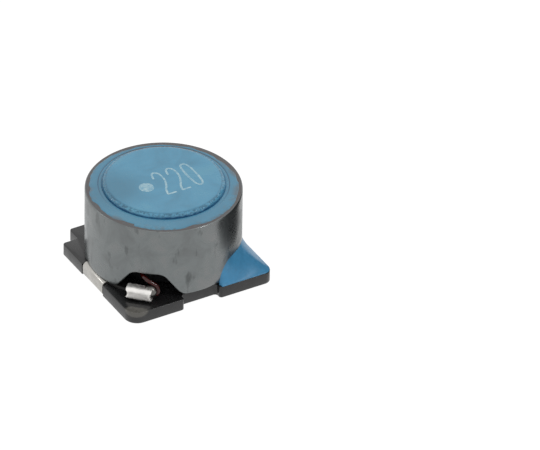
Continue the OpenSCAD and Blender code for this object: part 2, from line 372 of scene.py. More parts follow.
def grey(value):
    """A grey, or a plain number for a ramp that sets a strength."""
    return (value, value, value)


def tint(colour, factor):
    """A linear colour made lighter or darker."""
    return tuple(min(1, c * factor) for c in colour)


def blend(one, other, share):
    """A linear colour between two others."""
    return tuple(a + (b - a) * share for a, b in zip(one, other))


def liquid_crystal_polymer(colour, rough):
    """Injection-moulded heat-resistant plastic, carbon black: a smooth glossy skin that shows
    soft mirror images, with faint flow lines and a few dull rub marks."""
    material, tree = new_material("moulded_liquid_crystal_polymer")
    place = add_node(tree, "ShaderNodeTexCoord").outputs["Object"]
    stretch = add_node(tree, "ShaderNodeMapping",
                       {"Vector": place, "Scale": (1.0, 0.25, 1.0)}).outputs[0]
    # flow lines about 0.5 mm apart
    flow = add_node(tree, "ShaderNodeTexNoise",
                    {"Vector": stretch, "Scale": pattern_scale(0.5), "Detail": 5.0,
                     "Roughness": 0.6}).outputs["Fac"]
    rubs = add_node(tree, "ShaderNodeTexNoise",
                    {"Vector": place, "Scale": pattern_scale(1.6), "Detail": 6.0,
                     "Roughness": 0.7}).outputs["Fac"]
    grain = add_node(tree, "ShaderNodeTexNoise",
                     {"Vector": place, "Scale": pattern_scale(0.12), "Detail": 3.0}
                     ).outputs["Fac"]
    # a scuffed patch, 2 mm long and 1 mm high with a wandering edge, on one corner's side
    wander = add_node(tree, "ShaderNodeVectorMath", {0: rubs, 1: (0.0006, 0.0006, 0)},
                      operation="MULTIPLY").outputs[0]
    wander = add_node(tree, "ShaderNodeVectorMath", {0: place, 1: wander},
                      operation="ADD").outputs[0]
    off = add_node(tree, "ShaderNodeMapping",
                   {"Vector": wander, "Location": (-0.0055, -0.0057, 0.0011),
                    "Rotation": (0, 0, math.radians(-30)), "Scale": (0.001, 0.0006, 0.0005)},
                   vector_type="TEXTURE").outputs[0]
    off = add_node(tree, "ShaderNodeVectorMath", {0: off}, operation="LENGTH").outputs["Value"]
    scuff = add_node(tree, "ShaderNodeMapRange",
                     {"Value": off, "From Min": 1.1, "From Max": 0.85}).outputs[0]
    base = add_node(tree, "ShaderNodeValToRGB", {0: flow},
                    [(0.35, tint(colour, 0.8)), (0.7, tint(colour, 1.5))]).outputs[0]
    base = add_node(tree, "ShaderNodeMix", {0: scuff, 6: base, 7: (*linear("#5d5b56"), 1)},
                    data_type="RGBA").outputs[2]
    blur = add_node(tree, "ShaderNodeValToRGB", {0: rubs},
                    [(0.4, grey(rough)), (0.72, grey(rough + 0.22))]).outputs[0]
    height = add_node(tree, "ShaderNodeMath", {0: flow, 1: grain}, operation="ADD").outputs[0]
    bump = add_node(tree, "ShaderNodeBump",
                    {"Height": height, "Strength": 0.25, "Distance": 0.00001}).outputs[0]
    return finished(material, {"Base Color": base, "Roughness": blur, "Normal": bump,
                               "IOR": 1.52})


def ground_ferrite(colour, rough):
    """Sintered nickel-zinc ferrite, its outside ground round: a dense grey stone of high
    refractive index, so it mirrors softly, with fine grinding lines, dark handling smudges
    and small pits."""
    material, tree = new_material("ground_sintered_ferrite")
    place = add_node(tree, "ShaderNodeTexCoord").outputs["Object"]
    # grinding lines run round the wall, about 0.16 mm apart; the real ones are finer
    lines = add_node(tree, "ShaderNodeMapping",
                     {"Vector": place, "Scale": (0.12, 0.12, 1.0)}).outputs[0]
    lines = add_node(tree, "ShaderNodeTexNoise",
                     {"Vector": lines, "Scale": pattern_scale(0.16), "Detail": 4.0,
                      "Roughness": 0.65}).outputs["Fac"]
    smudge = add_node(tree, "ShaderNodeTexNoise",
                      {"Vector": place, "Scale": pattern_scale(2.2), "Detail": 5.0,
                       "Roughness": 0.62, "Distortion": 0.6}).outputs["Fac"]
    # stains run down the wall, so they are longer than wide
    upright = add_node(tree, "ShaderNodeMapping",
                       {"Vector": place, "Scale": (1.0, 1.0, 0.4)}).outputs[0]
    marks = add_node(tree, "ShaderNodeTexNoise",
                     {"Vector": upright, "Scale": pattern_scale(0.75), "Detail": 3.0,
                      "Roughness": 0.5}).outputs["Fac"]
    pits = add_node(tree, "ShaderNodeTexVoronoi",
                    {"Vector": place, "Scale": pattern_scale(0.45), "Randomness": 1.0},
                    feature="F1").outputs["Distance"]
    base = add_node(tree, "ShaderNodeValToRGB", {0: smudge},
                    [(0.3, tint(colour, 0.72)), (0.5, colour),
                     (0.72, tint(colour, 1.22))]).outputs[0]
    gloss = add_node(tree, "ShaderNodeValToRGB", {0: smudge},
                     [(0.3, linear("#dfe4e4")), (0.5, linear("#f2fafa")),
                      (0.7, grey(1.0))]).outputs[0]
    dark = add_node(tree, "ShaderNodeValToRGB", {0: marks},
                    [(0.62, grey(1.0)), (0.67, grey(0.8)), (0.76, grey(0.6))]).outputs[0]
    pit = add_node(tree, "ShaderNodeValToRGB", {0: pits},
                   [(0.05, grey(0.35)), (0.12, grey(1.0))]).outputs[0]
    # stains darken the stone and take away gloss
    base, gloss = [add_node(tree, "ShaderNodeMix", {0: 1.0, 6: clean, 7: dark},
                            data_type="RGBA", blend_type="MULTIPLY").outputs[2]
                   for clean in (base, gloss)]
    base = add_node(tree, "ShaderNodeMix", {0: 1.0, 6: base, 7: pit},
                    data_type="RGBA", blend_type="MULTIPLY").outputs[2]
    blur = add_node(tree, "ShaderNodeValToRGB", {0: smudge},
                    [(0.35, grey(rough + 0.12)), (0.65, grey(rough))]).outputs[0]
    height = add_node(tree, "ShaderNodeMath", {0: lines, 1: pit}, operation="MULTIPLY").outputs[0]
    bump = add_node(tree, "ShaderNodeBump",
                    {"Height": height, "Strength": 0.3, "Distance": 0.000012}).outputs[0]
    return finished(material, {"Base Color": base, "Specular Tint": gloss, "Roughness": blur,
                               "Normal": bump, "IOR": 2.45})


def fired_face(colour):
    """The ring's end face, left as fired: a duller, darker grey with brown and violet stains
    where epoxy was wiped off."""
    material, tree = new_material("as_fired_ferrite_face")
    place = add_node(tree, "ShaderNodeTexCoord").outputs["Object"]
    stain = add_node(tree, "ShaderNodeTexNoise",
                     {"Vector": place, "Scale": pattern_scale(0.7), "Detail": 5.0,
                      "Roughness": 0.65}).outputs["Fac"]
    base = add_node(tree, "ShaderNodeValToRGB", {0: stain},
                    [(0.3, linear("#333437")), (0.46, colour), (0.56, linear("#4a423f")),
                     (0.7, linear("#444151"))]).outputs[0]
    blur = add_node(tree, "ShaderNodeValToRGB", {0: stain},
                    [(0.3, grey(0.4)), (0.7, grey(0.6))]).outputs[0]
    bump = add_node(tree, "ShaderNodeBump",
                    {"Height": stain, "Strength": 0.3, "Distance": 0.00002}).outputs[0]
    return finished(material, {"Base Color": base, "Roughness": blur, "Normal": bump,
                               "IOR": 1.8})


def sintered_ferrite(colour):
    """Ferrite as it leaves the furnace, not ground: near black, dull and grainy."""
    material, tree = new_material("as_fired_ferrite")
    place = add_node(tree, "ShaderNodeTexCoord").outputs["Object"]
    grain = add_node(tree, "ShaderNodeTexNoise",
                     {"Vector": place, "Scale": pattern_scale(0.15), "Detail": 4.0}
                     ).outputs["Fac"]
    base = add_node(tree, "ShaderNodeValToRGB", {0: grain},
                    [(0.3, tint(colour, 0.7)), (0.7, tint(colour, 1.3))]).outputs[0]
    bump = add_node(tree, "ShaderNodeBump",
                    {"Height": grain, "Strength": 0.3, "Distance": 0.00001}).outputs[0]
    return finished(material, {"Base Color": base, "Roughness": 0.75, "Normal": bump,
                               "Specular IOR Level": 0.15})


def matte_tin(colour, rough, name="tin_plated_bronze", dents=1.0):
    """Tin-plated phosphor bronze strip, rolled and folded: bright warm-white metal with a
    soft blur, faint rolling lines and shallow dents."""
    material, tree = new_material(name)
    place = add_node(tree, "ShaderNodeTexCoord").outputs["Object"]
    cloud = add_node(tree, "ShaderNodeTexNoise",
                     {"Vector": place, "Scale": pattern_scale(0.7), "Detail": 4.0,
                      "Roughness": 0.55}).outputs["Fac"]
    # rolling lines run across the folded strip, about 0.1 mm apart
    rolling = add_node(tree, "ShaderNodeMapping",
                       {"Vector": place, "Scale": (1.0, 0.1, 1.0)}).outputs[0]
    rolling = add_node(tree, "ShaderNodeTexNoise",
                       {"Vector": rolling, "Scale": pattern_scale(0.1), "Detail": 3.0}
                       ).outputs["Fac"]
    pressed = add_node(tree, "ShaderNodeTexNoise",
                       {"Vector": place, "Scale": pattern_scale(0.35), "Detail": 2.0}
                       ).outputs["Fac"]
    base = add_node(tree, "ShaderNodeValToRGB", {0: cloud},
                    [(0.3, tint(colour, 0.82)), (0.7, colour)]).outputs[0]
    blur = add_node(tree, "ShaderNodeValToRGB", {0: rolling},
                    [(0.3, grey(rough)), (0.75, grey(rough + 0.16))]).outputs[0]
    bump = add_node(tree, "ShaderNodeBump",
                    {"Height": pressed, "Strength": 0.35 * dents, "Distance": 0.00004}
                    ).outputs[0]
    return finished(material, {"Base Color": base, "Roughness": blur, "Normal": bump,
                               "Metallic": 1.0})


def wire_enamel(colour):
    """Polyurethane enamel baked on copper: a deep red-brown gloss with a sharp highlight."""
    material, tree = new_material("enamelled_copper")
    place = add_node(tree, "ShaderNodeTexCoord").outputs["Object"]
    cloud = add_node(tree, "ShaderNodeTexNoise",
                     {"Vector": place, "Scale": pattern_scale(0.9), "Detail": 3.0}
                     ).outputs["Fac"]
    base = add_node(tree, "ShaderNodeValToRGB", {0: cloud},
                    [(0.3, tint(colour, 0.6)), (0.7, tint(colour, 1.3))]).outputs[0]
    return finished(material, {"Base Color": base, "Roughness": 0.14, "IOR": 1.42})


def poured_epoxy(colour, rough):
    """Pigmented two-part epoxy, poured into the corner and baked: a deep even blue, small
    craters and a wet gloss broken by shallow ripples."""
    material, tree = new_material("poured_blue_epoxy")
    place = add_node(tree, "ShaderNodeTexCoord").outputs["Object"]
    cloud = add_node(tree, "ShaderNodeTexNoise",
                     {"Vector": place, "Scale": pattern_scale(2.4), "Detail": 5.0,
                      "Roughness": 0.6, "Distortion": 0.5}).outputs["Fac"]
    fine = add_node(tree, "ShaderNodeTexNoise",
                    {"Vector": place, "Scale": pattern_scale(0.3), "Detail": 3.0}
                    ).outputs["Fac"]
    craters = add_node(tree, "ShaderNodeTexVoronoi",
                       {"Vector": place, "Scale": pattern_scale(0.9), "Randomness": 1.0},
                       feature="F1").outputs["Distance"]
    base = add_node(tree, "ShaderNodeValToRGB", {0: cloud},
                    [(0.25, tint(colour, 0.8)), (0.5, colour),
                     (0.75, tint(colour, 1.18))]).outputs[0]
    speck = add_node(tree, "ShaderNodeValToRGB", {0: fine},
                     [(0.3, grey(0.9)), (0.6, grey(1.0))]).outputs[0]
    base = add_node(tree, "ShaderNodeMix", {0: 1.0, 6: base, 7: speck},
                    data_type="RGBA", blend_type="MULTIPLY").outputs[2]
    blur = add_node(tree, "ShaderNodeValToRGB", {0: cloud},
                    [(0.3, grey(rough)), (0.7, grey(rough + 0.12))]).outputs[0]
    dip = add_node(tree, "ShaderNodeValToRGB", {0: craters},
                   [(0.0, grey(0.0)), (0.09, grey(1.0))]).outputs[0]
    height = add_node(tree, "ShaderNodeMath", {0: dip, 1: fine}, operation="ADD").outputs[0]
    bump = add_node(tree, "ShaderNodeBump",
                    {"Height": height, "Strength": 0.35, "Distance": 0.000015}).outputs[0]
    return finished(material, {"Base Color": base, "Roughness": blur, "Normal": bump,
                               "IOR": 1.52})


def brushed_epoxy(colour, rough):
    """Pigmented two-part epoxy brushed over drum and ring and baked: an even blue with cloudy
    pigment, painted dark navy shade in the crease at the drum's edge where it ran down and in
    the gap, crumbly and grey where the brush left it thin, and a wet gloss."""
    material, tree = new_material("brushed_blue_epoxy")
    place = add_node(tree, "ShaderNodeTexCoord").outputs["Object"]
    axes = add_node(tree, "ShaderNodeSeparateXYZ", {0: place}).outputs
    flat = add_node(tree, "ShaderNodeCombineXYZ", {0: axes[0], 1: axes[1]}).outputs[0]
    cloud = add_node(tree, "ShaderNodeTexNoise",
                     {"Vector": place, "Scale": pattern_scale(3.0), "Detail": 5.0,
                      "Roughness": 0.6, "Distortion": 0.5}).outputs["Fac"]
    fine = add_node(tree, "ShaderNodeTexNoise",
                    {"Vector": place, "Scale": pattern_scale(0.3), "Detail": 4.0,
                     "Roughness": 0.65}).outputs["Fac"]
    crumbs = add_node(tree, "ShaderNodeTexNoise",
                      {"Vector": place, "Scale": pattern_scale(0.22), "Detail": 3.0,
                       "Roughness": 0.7}).outputs["Fac"]
    patches = add_node(tree, "ShaderNodeTexNoise",
                       {"Vector": place, "Scale": pattern_scale(1.3), "Detail": 4.0,
                        "Roughness": 0.6}).outputs["Fac"]
    base = add_node(tree, "ShaderNodeValToRGB", {0: cloud},
                    [(0.28, tint(colour, 0.8)), (0.5, colour),
                     (0.72, blend(tint(colour, 1.15), linear("#6fa0a8"), 0.35))]).outputs[0]
    # the coat is made darker over a patch about 6 mm across, to one side of the disc
    dark_patch = add_node(tree, "ShaderNodeMapping",
                       {"Vector": flat, "Location": (-0.0038, 0.0011, 0),
                        "Scale": (0.0031, 0.0031, 0.0031)}, vector_type="TEXTURE").outputs[0]
    dark_patch = add_node(tree, "ShaderNodeVectorMath", {0: dark_patch},
                       operation="LENGTH").outputs["Value"]
    dark_patch = add_node(tree, "ShaderNodeMapRange",
                       {"Value": dark_patch, "From Min": 1.0, "From Max": 0.3, "To Max": 0.9}
                       ).outputs[0]
    base = add_node(tree, "ShaderNodeMix", {0: dark_patch, 6: base, 7: (*tint(colour, 0.7), 1)},
                    data_type="RGBA").outputs[2]
    from_drum = add_node(tree, "ShaderNodeVectorMath",
                         {0: flat, 1: (DRUM_SET.x / 1000, DRUM_SET.y / 1000, 0)},
                         operation="DISTANCE").outputs["Value"]
    from_axis = add_node(tree, "ShaderNodeVectorMath", {0: flat},
                         operation="LENGTH").outputs["Value"]
    # how far a place lies towards the far side, away from the camera, where the coat sagged most
    # and the painted shade in the gap is darkest
    far = add_node(tree, "ShaderNodeVectorMath", {0: flat, 1: (0.5, 0.866, 0)},
                   operation="DOT_PRODUCT").outputs["Value"]
    far = add_node(tree, "ShaderNodeMapRange",
                   {"Value": far, "From Min": -0.003, "From Max": 0.0005}).outputs[0]
    gap_shade = add_node(tree, "ShaderNodeMath", {0: far, 1: 0.7}, operation="MULTIPLY").outputs[0]
    # the painted shade in the crease at the drum's edge is darkest on the near side and falls to
    # 0.45 of that on the far side
    crease_shade = add_node(tree, "ShaderNodeMapRange",
                    {"Value": far, "To Min": 1.0, "To Max": 0.45}).outputs[0]
    broken = add_node(tree, "ShaderNodeValToRGB", {0: fine},
                      [(0.35, grey(0.1)), (0.6, grey(0.55))]).outputs[0]
    crumbly = add_node(tree, "ShaderNodeValToRGB", {0: crumbs},
                       [(0.46, grey(0.0)), (0.58, grey(0.7))]).outputs[0]
    thin = add_node(tree, "ShaderNodeValToRGB", {0: patches},
                    [(0.5, grey(0.0)), (0.64, grey(0.8))]).outputs[0]
    edge = add_node(tree, "ShaderNodeValToRGB", {0: fine},
                    [(0.45, grey(0.0)), (0.62, grey(0.8))]).outputs[0]
    # rings of another colour, each with the radii in mm at which it starts, is full, fades and
    # ends:
    # the film on the ring, painted shade in the sagging gap, painted shade in the crease where
    # epoxy ran down, the drum's shoulder, the crumbs on it, and two thin places towards the ring's
    # edge
    for reach, starts, full, fades, ends, strength, tone in (
            (from_drum, 4.95, 5.05, 7.0, 7.5, 0.5, tint(colour, 0.62)),
            (from_drum, 5.13, 5.17, 5.22, 5.27, gap_shade, linear("#1f4a6b")),
            (from_drum, 4.83, 4.87, 4.94, 4.99, crease_shade, linear("#235a82")),
            (from_drum, 4.5, 4.58, 4.62, 4.7, broken, linear("#3d6f8c")),
            (from_drum, 4.56, 4.66, 4.8, 4.87, crumbly, linear("#2c5b76")),
            (from_axis, 5.35, 5.75, 6.2, 6.3, thin, linear("#66757f")),
            (from_axis, 5.7, 5.95, 6.2, 6.3, edge, linear("#56707c"))):
        share = strength
        for none, whole in ((starts, full), (ends, fades)):
            slope = add_node(tree, "ShaderNodeMapRange",
                             {"Value": reach, "From Min": none / 1000,
                              "From Max": whole / 1000}).outputs[0]
            share = add_node(tree, "ShaderNodeMath", {0: slope, 1: share},
                             operation="MULTIPLY").outputs[0]
        base = add_node(tree, "ShaderNodeMix", {0: share, 6: base, 7: (*tone, 1)},
                        data_type="RGBA").outputs[2]
    blur = add_node(tree, "ShaderNodeValToRGB", {0: cloud},
                    [(0.3, grey(rough)), (0.7, grey(rough + 0.14))]).outputs[0]
    bump = add_node(tree, "ShaderNodeBump",
                    {"Height": fine, "Strength": 0.5, "Distance": 0.000012}).outputs[0]
    return finished(material, {"Base Color": base, "Roughness": blur, "Normal": bump,
                               "IOR": 1.52})


def cured_adhesive(name, colour, rough):
    """Heat-cured filled adhesive: dull and slightly grainy."""
    material, tree = new_material(name)
    place = add_node(tree, "ShaderNodeTexCoord").outputs["Object"]
    grain = add_node(tree, "ShaderNodeTexNoise",
                     {"Vector": place, "Scale": pattern_scale(0.2), "Detail": 4.0}
                     ).outputs["Fac"]
    base = add_node(tree, "ShaderNodeValToRGB", {0: grain},
                    [(0.3, tint(colour, 0.8)), (0.7, colour)]).outputs[0]
    return finished(material, {"Base Color": base, "Roughness": rough,
                               "Specular IOR Level": 0.3})


def black_felt():
    """Felt on the dark card: it takes light out of the glossy wall and gives none back."""
    material = new_material("black_felt")[0]
    return finished(material, {"Base Color": (*linear("#0e0e0f"), 1), "Roughness": 0.8})


def pad_print_ink(colour, coat):
    """Pad-printed epoxy ink: a thin pale layer, a little patchy where the coat is uneven."""
    material, tree = new_material("pad_printed_ink")
    place = add_node(tree, "ShaderNodeTexCoord").outputs["Object"]
    patch = add_node(tree, "ShaderNodeTexNoise",
                     {"Vector": place, "Scale": pattern_scale(0.25), "Detail": 4.0,
                      "Roughness": 0.7}).outputs["Fac"]
    base = add_node(tree, "ShaderNodeValToRGB", {0: patch},
                    [(0.36, blend(colour, coat, 0.75)), (0.5, blend(colour, coat, 0.35)),
                     (0.62, colour)]).outputs[0]
    return finished(material, {"Base Color": base, "Roughness": 0.4})


# ------------------------------------------------------------------ settings

class MouldedBaseSettings(bpy.types.PropertyGroup):
    """Looks of the moulded base plate."""
    colour: FloatVectorProperty(name="Plastic", description="Colour of the moulded plastic",
                                subtype="COLOR", default=linear("#1c1c1d"), min=0, max=1)
    rough: FloatProperty(name="Roughness", description="Blur of the plastic's gloss",
                         subtype="FACTOR", default=0.2, min=0, max=1)
    edge: FloatProperty(name="Edge round", description="Radius on the moulded edges",
                        unit="LENGTH", default=0.00006, min=0.00002, max=0.00015, precision=6)


class TerminalSettings(bpy.types.PropertyGroup):
    """Looks of the two folded strips and their welds."""
    colour: FloatVectorProperty(name="Tin", description="Colour of the tin plating",
                                subtype="COLOR", default=linear("#bab8b3"), min=0, max=1)
    rough: FloatProperty(name="Roughness", description="Blur of the tin's reflections",
                         subtype="FACTOR", default=0.24, min=0, max=1)
    strip_width: FloatProperty(name="Strip width", description="Width of the folded strip",
                               unit="LENGTH", default=0.0032, min=0.002, max=0.004,
                               precision=5)
    crimp: FloatProperty(name="Crimp depth", description="Depth of the dents in the lug",
                         unit="LENGTH", default=0.00004, min=0, max=0.0001, precision=6)
    bead: FloatProperty(name="Weld bead", description="Diameter of the weld bead",
                        unit="LENGTH", default=0.0011, min=0.0008, max=0.0012, precision=5)


class WindingSettings(bpy.types.PropertyGroup):
    """Looks of the winding."""
    colour: FloatVectorProperty(name="Enamel", description="Colour of the wire's enamel",
                                subtype="COLOR", default=linear("#3c0b08"), min=0, max=1)
    wire: FloatProperty(name="Wire", description="Diameter of the enamelled wire",
                        unit="LENGTH", default=0.00032, min=0.0002, max=0.0005, precision=5)
    turns: IntProperty(name="Turns", description="Turns of wire in each layer",
                       default=12, min=4, max=12)
    layers: IntProperty(name="Layers", description="Layers of wire on the neck",
                        default=5, min=1, max=5)


class ShieldSettings(bpy.types.PropertyGroup):
    """Looks of the ferrite drum and shield ring."""
    colour: FloatVectorProperty(name="Ferrite", description="Colour of the sintered ferrite",
                                subtype="COLOR", default=linear("#2a2d2e"), min=0, max=1)
    rough: FloatProperty(name="Roughness", description="Blur of the ground ferrite's gloss",
                         subtype="FACTOR", default=0.23, min=0, max=1)
    edge: FloatProperty(name="Edge round", description="Radius on the ring's edges",
                        unit="LENGTH", default=0.00014, min=0.00003, max=0.0002, precision=6)


class EpoxySettings(bpy.types.PropertyGroup):
    """Looks of the blue epoxy."""
    coat_colour: FloatVectorProperty(name="Top coat", description="Colour of the coat on top",
                                     subtype="COLOR", default=linear("#5ba0c1"), min=0, max=1)
    corner_colour: FloatVectorProperty(name="Corner", description="Colour of the corner fillet",
                                       subtype="COLOR", default=linear("#3c88b4"), min=0, max=1)
    rough: FloatProperty(name="Roughness", description="Blur of the epoxy's gloss",
                         subtype="FACTOR", default=0.18, min=0, max=1)
    bare_rim: FloatProperty(name="Bare rim", description="Mean width of ferrite left bare",
                            unit="LENGTH", default=0.0003, min=0.00005, max=0.0005,
                            precision=6)
    sink: FloatProperty(name="Run-down", description="Depth of the crease at the drum's edge",
                        unit="LENGTH", default=0.00003, min=0, max=0.0003, precision=6)


class PrintSettings(bpy.types.PropertyGroup):
    """The printed value."""
    value: StringProperty(name="Value", description="Digits 0 and 2 printed on the coat",
                          default="220", maxlen=3)
    colour: FloatVectorProperty(name="Ink", description="Colour of the printing ink",
                                subtype="COLOR", default=linear("#b9d8e0"), min=0, max=1)
    height: FloatProperty(name="Digit height", description="Height of the digits",
                          unit="LENGTH", default=0.0031, min=0.001, max=0.004, precision=5)
    stroke: FloatProperty(name="Stroke", description="Width of the printed stroke",
                          unit="LENGTH", default=0.00017, min=0.0001, max=0.0005, precision=6)


class StageSettings(bpy.types.PropertyGroup):
    """Camera and light."""
    azimuth: FloatProperty(name="Azimuth", description="Camera's turn from the -Y side",
                           subtype="ANGLE", default=math.radians(-30.05))
    elevation: FloatProperty(name="Elevation", description="Camera's height over the part",
                             subtype="ANGLE", default=math.radians(35.02))
    roll: FloatProperty(name="Roll", description="Camera's roll",
                        subtype="ANGLE", default=math.radians(-0.871))
    distance: FloatProperty(name="Distance", description="Camera's distance",
                            unit="LENGTH", default=0.85516, min=0.1, precision=4)
    lens: FloatProperty(name="Lens", description="Focal length on a 36 mm sensor, in mm",
                        default=718.67, min=50)
    sky: FloatProperty(name="Sky", description="Strength of the even light all round",
                       default=0.64, min=0, max=2)
    key: FloatProperty(name="Key", description="Power of the large lamp, in watts",
                       default=0.055, min=0)
    flag: BoolProperty(name="Flag", description="Dark card beside the part, seen only in its gloss",
                       default=True)


# ------------------------------------------------------------------ moulded base

def plate_outline():
    """The plate's outline: key notch, set-back edge and rounded corners."""
    h, small, large = HALF, 0.25, 1.1
    gap, inner = 1.6, -h + 0.64
    notch_x, notch_y = -h + 1.4, h - 1.45
    return rounded([(-h, -h, large), (-gap, -h, small), (-gap, inner, small),
                    (gap, inner, small), (gap, -h, small), (h, -h, CORNER_R), (h, h, large),
                    (notch_x, h, small), (notch_x, notch_y, small), (-h, notch_y, small)])


def strip_channel(strip_width):
    """The channel that the plate leaves for one strip: under, up the side, round its tongue."""
    # the strip lies with a little play on every side
    depth, play, r = STRIP + 0.02, 0.12, 0.25
    reach, outside = -HALF + PAD_REACH + play, -HALF - 1
    tongue = rounded([(reach + 1, depth, 0), (reach + 1, PLATE_TOP + 0.001, 0),
                      (-HALF + depth, PLATE_TOP + 0.001, r), (-HALF + depth, depth, r)])
    outline = [Vector((outside, -1)), Vector((reach, -1)), Vector((reach, depth))]
    outline += [p for p in reversed(tongue) if p.x < reach]
    outline += [Vector((-HALF + 0.9, PLATE_TOP + 1)), Vector((outside, PLATE_TOP + 1))]
    return bar(outline, strip_width + 2 * play)


def ring_groove(radius, width, depth):
    """A shallow round groove in the underside, as a closed ring."""
    bed = PLATE_LOW.z + depth
    rows = [circle(r, 72, z) for r, z in ((radius, -0.5), (radius, bed), (radius - width, bed),
                                          (radius - width, -0.5))]
    return grid(rows, wrap_rows=True, wrap_cols=True)


class INDUCTOR_OT_moulded_base(bpy.types.Operator):
    """Mould the base plate with its notch, set-back, strip channels and insert mark"""
    bl_idname = "inductor.moulded_base"
    bl_label = "Moulded Base"

    def execute(self, context):
        s = context.scene.inductor_base
        width = context.scene.inductor_terminals.strip_width * 1000
        plate = new_object("moulded_base_plate", prism(plate_outline(), PLATE_LOW.z, PLATE_TOP))
        soften(plate, s.edge * 1000)
        channel = strip_channel(width)
        cut(plate, [channel, turned(channel, math.pi),
                    ring_groove(radius=1.95, width=0.15, depth=0.05)])
        plastic = liquid_crystal_polymer(s.colour, s.rough)
        dress(plate, [plastic], "moulded_plastic", "base_plate")
        # the cavity number stands up a little inside the insert's ring, read from below
        number, proud = glyph("2", width=0.62, height=1.05), 0.02
        mark = new_object("cavity_number", stroke_shell(
            number, 0.13, 0.0, low=PLATE_LOW.z - proud, high=PLATE_LOW.z + proud,
            shift=(-0.31, -0.52), mirror=True))
        dress(mark, [plastic], "moulded_plastic")
        return {"FINISHED"}


# ------------------------------------------------------------------ terminals and welds

LUG_BACK, LUG_DEPTH, LUG_WIDTH = RING_R + 0.12, 0.82, 2.07
LUG_LOW, LUG_TOP = PLATE_TOP + 0.2, PLATE_TOP + 1.22
LUG_MID = (LUG_LOW + LUG_TOP) / 2
ARM_IN, ARM_OUT = FLANGE_R + 0.1, RING_R - 0.25


def folded_strip(width):
    """Pad, side and upper leg of one terminal."""
    h, t, top = HALF, STRIP, RING_BASE
    outer_r, inner_r, end = STRIP * 2, STRIP, -h + PAD_REACH
    return bar(rounded([(-h, 0, outer_r), (-h, top, outer_r), (-ARM_IN, top, 0),
                        (-ARM_IN, PLATE_TOP, 0), (-h + t, PLATE_TOP, inner_r),
                        (-h + t, t, inner_r), (end, t, 0), (end, 0, 0)], 10), width)


def arm_angles(width, steps, shift=0.0, longer=0.0):
    """Angles along the arm, from the upright strip's edge to the far edge of the lug's tab."""
    first = math.pi - math.asin(width / 2 / ARM_OUT) + shift
    last = LUG_AXIS + 2 * math.pi + math.asin(TAB_WIDTH / 2 / ARM_OUT) + longer
    return [first + (last - first) * k / steps for k in range(steps + 1)]


def curved_arm(width):
    """The flat arm that runs under the ring towards the corner."""
    section = ((ARM_OUT, PLATE_TOP), (ARM_OUT, RING_BASE), (ARM_IN, RING_BASE),
               (ARM_IN, PLATE_TOP))
    return carried([[(r * math.cos(a), r * math.sin(a), z) for a in arm_angles(width, 28)]
                    for r, z in section])


def bond_and_arm_shade(width):
    """Dark adhesive squeezed out from under the ring over the arm and the root of the tab; its near
    black also stands as painted shade for the dark inside the arch.
    """
    rows = []
    section = [(ARM_OUT + 0.09, 0.0), (ARM_OUT + 0.07, 0.12), (ARM_OUT + 0.02, 0.2),
               (ARM_OUT - 0.08, 0.235), (ARM_OUT - 0.4, 0.25), (ARM_IN + 0.15, 0.25),
               (ARM_IN - 0.02, 0.22), (ARM_IN - 0.05, 0.0)]
    for r, z in section:
        row = []
        for a in arm_angles(width, 60, shift=0.02, longer=0.05):
            x, y = math.cos(a), math.sin(a)
            run = r + 0.05 * lumps(x * 3, y * 3, r, 0.3)
            row.append((run * x, run * y, PLATE_TOP + z * (1 + 0.08 * lumps(x, y, z, 0.1))))
        rows.append(row)
    return carried(rows)


def lug_tab():
    """The tab that rises off the plate and carries the lug, in the lug's frame."""
    a, b, t = ARM_OUT - 0.1, LUG_BACK - 0.1, STRIP
    return bar(rounded([(ARM_IN + 0.2, PLATE_TOP, 0), (a, PLATE_TOP, 0.2), (b, LUG_LOW, 0.2),
                        (LUG_BACK + 0.3, LUG_LOW, 0), (LUG_BACK + 0.3, LUG_LOW + t, 0),
                        (b - 0.05, LUG_LOW + t, 0.2), (a - 0.05, PLATE_TOP + t, 0.2),
                        (ARM_IN + 0.2, PLATE_TOP + t, 0)], 4), TAB_WIDTH)


def folded_lug(crimp):
    """The strip's end, folded over the wire and crimped to a waisted, dented loop."""
    x0, x1, z0, z1, t = LUG_BACK, LUG_BACK + LUG_DEPTH, LUG_LOW, LUG_TOP, STRIP
    section = rounded([(x0, z0, 0.05), (x1, z0, 0.17), (x1, z1, 0.3), (x0, z1, 0.05),
                       (x0, z1 - t, 0.05), (x1 - t, z1 - t, 0.12), (x1 - t, z0 + t, 0.06),
                       (x0, z0 + t, 0.05)], 6)
    fine = stepped([*section, section[0]], 0.05)
    middle = Vector(((x0 + x1) / 2, LUG_MID))
    rows, count = [], 44
    for i in range(count + 1):
        s = -1 + 2 * i / count
        row = []
        for p in fine:
            waist = 0.12 * max(0.0, 1 - ((p.y - LUG_MID) / 0.34) ** 2)
            y = s * (LUG_WIDTH / 2 - waist)
            out = (p - middle).normalized()
            # two presses of the crimping tool, and the fold's own unevenness
            press = -crimp * 0.8 * math.exp(-((abs(y) - 0.5) / 0.2) ** 2) * max(0, out.x)
            rough = crimp * 0.5 * lumps(p.x * 1.3, y * 1.3, p.y * 1.3, 0.5)
            end = -0.03 * abs(s) ** 10
            q = p + out * (press + rough + end)
            row.append((q.x, y, q.y))
        rows.append(row)
    return capped(rows, clockwise=True)


def bead_place(size):
    """Where across the lug and how high the middle of the weld bead lies."""
    return LUG_WIDTH / 2 - size * 0.225, LUG_TOP - size * 0.35


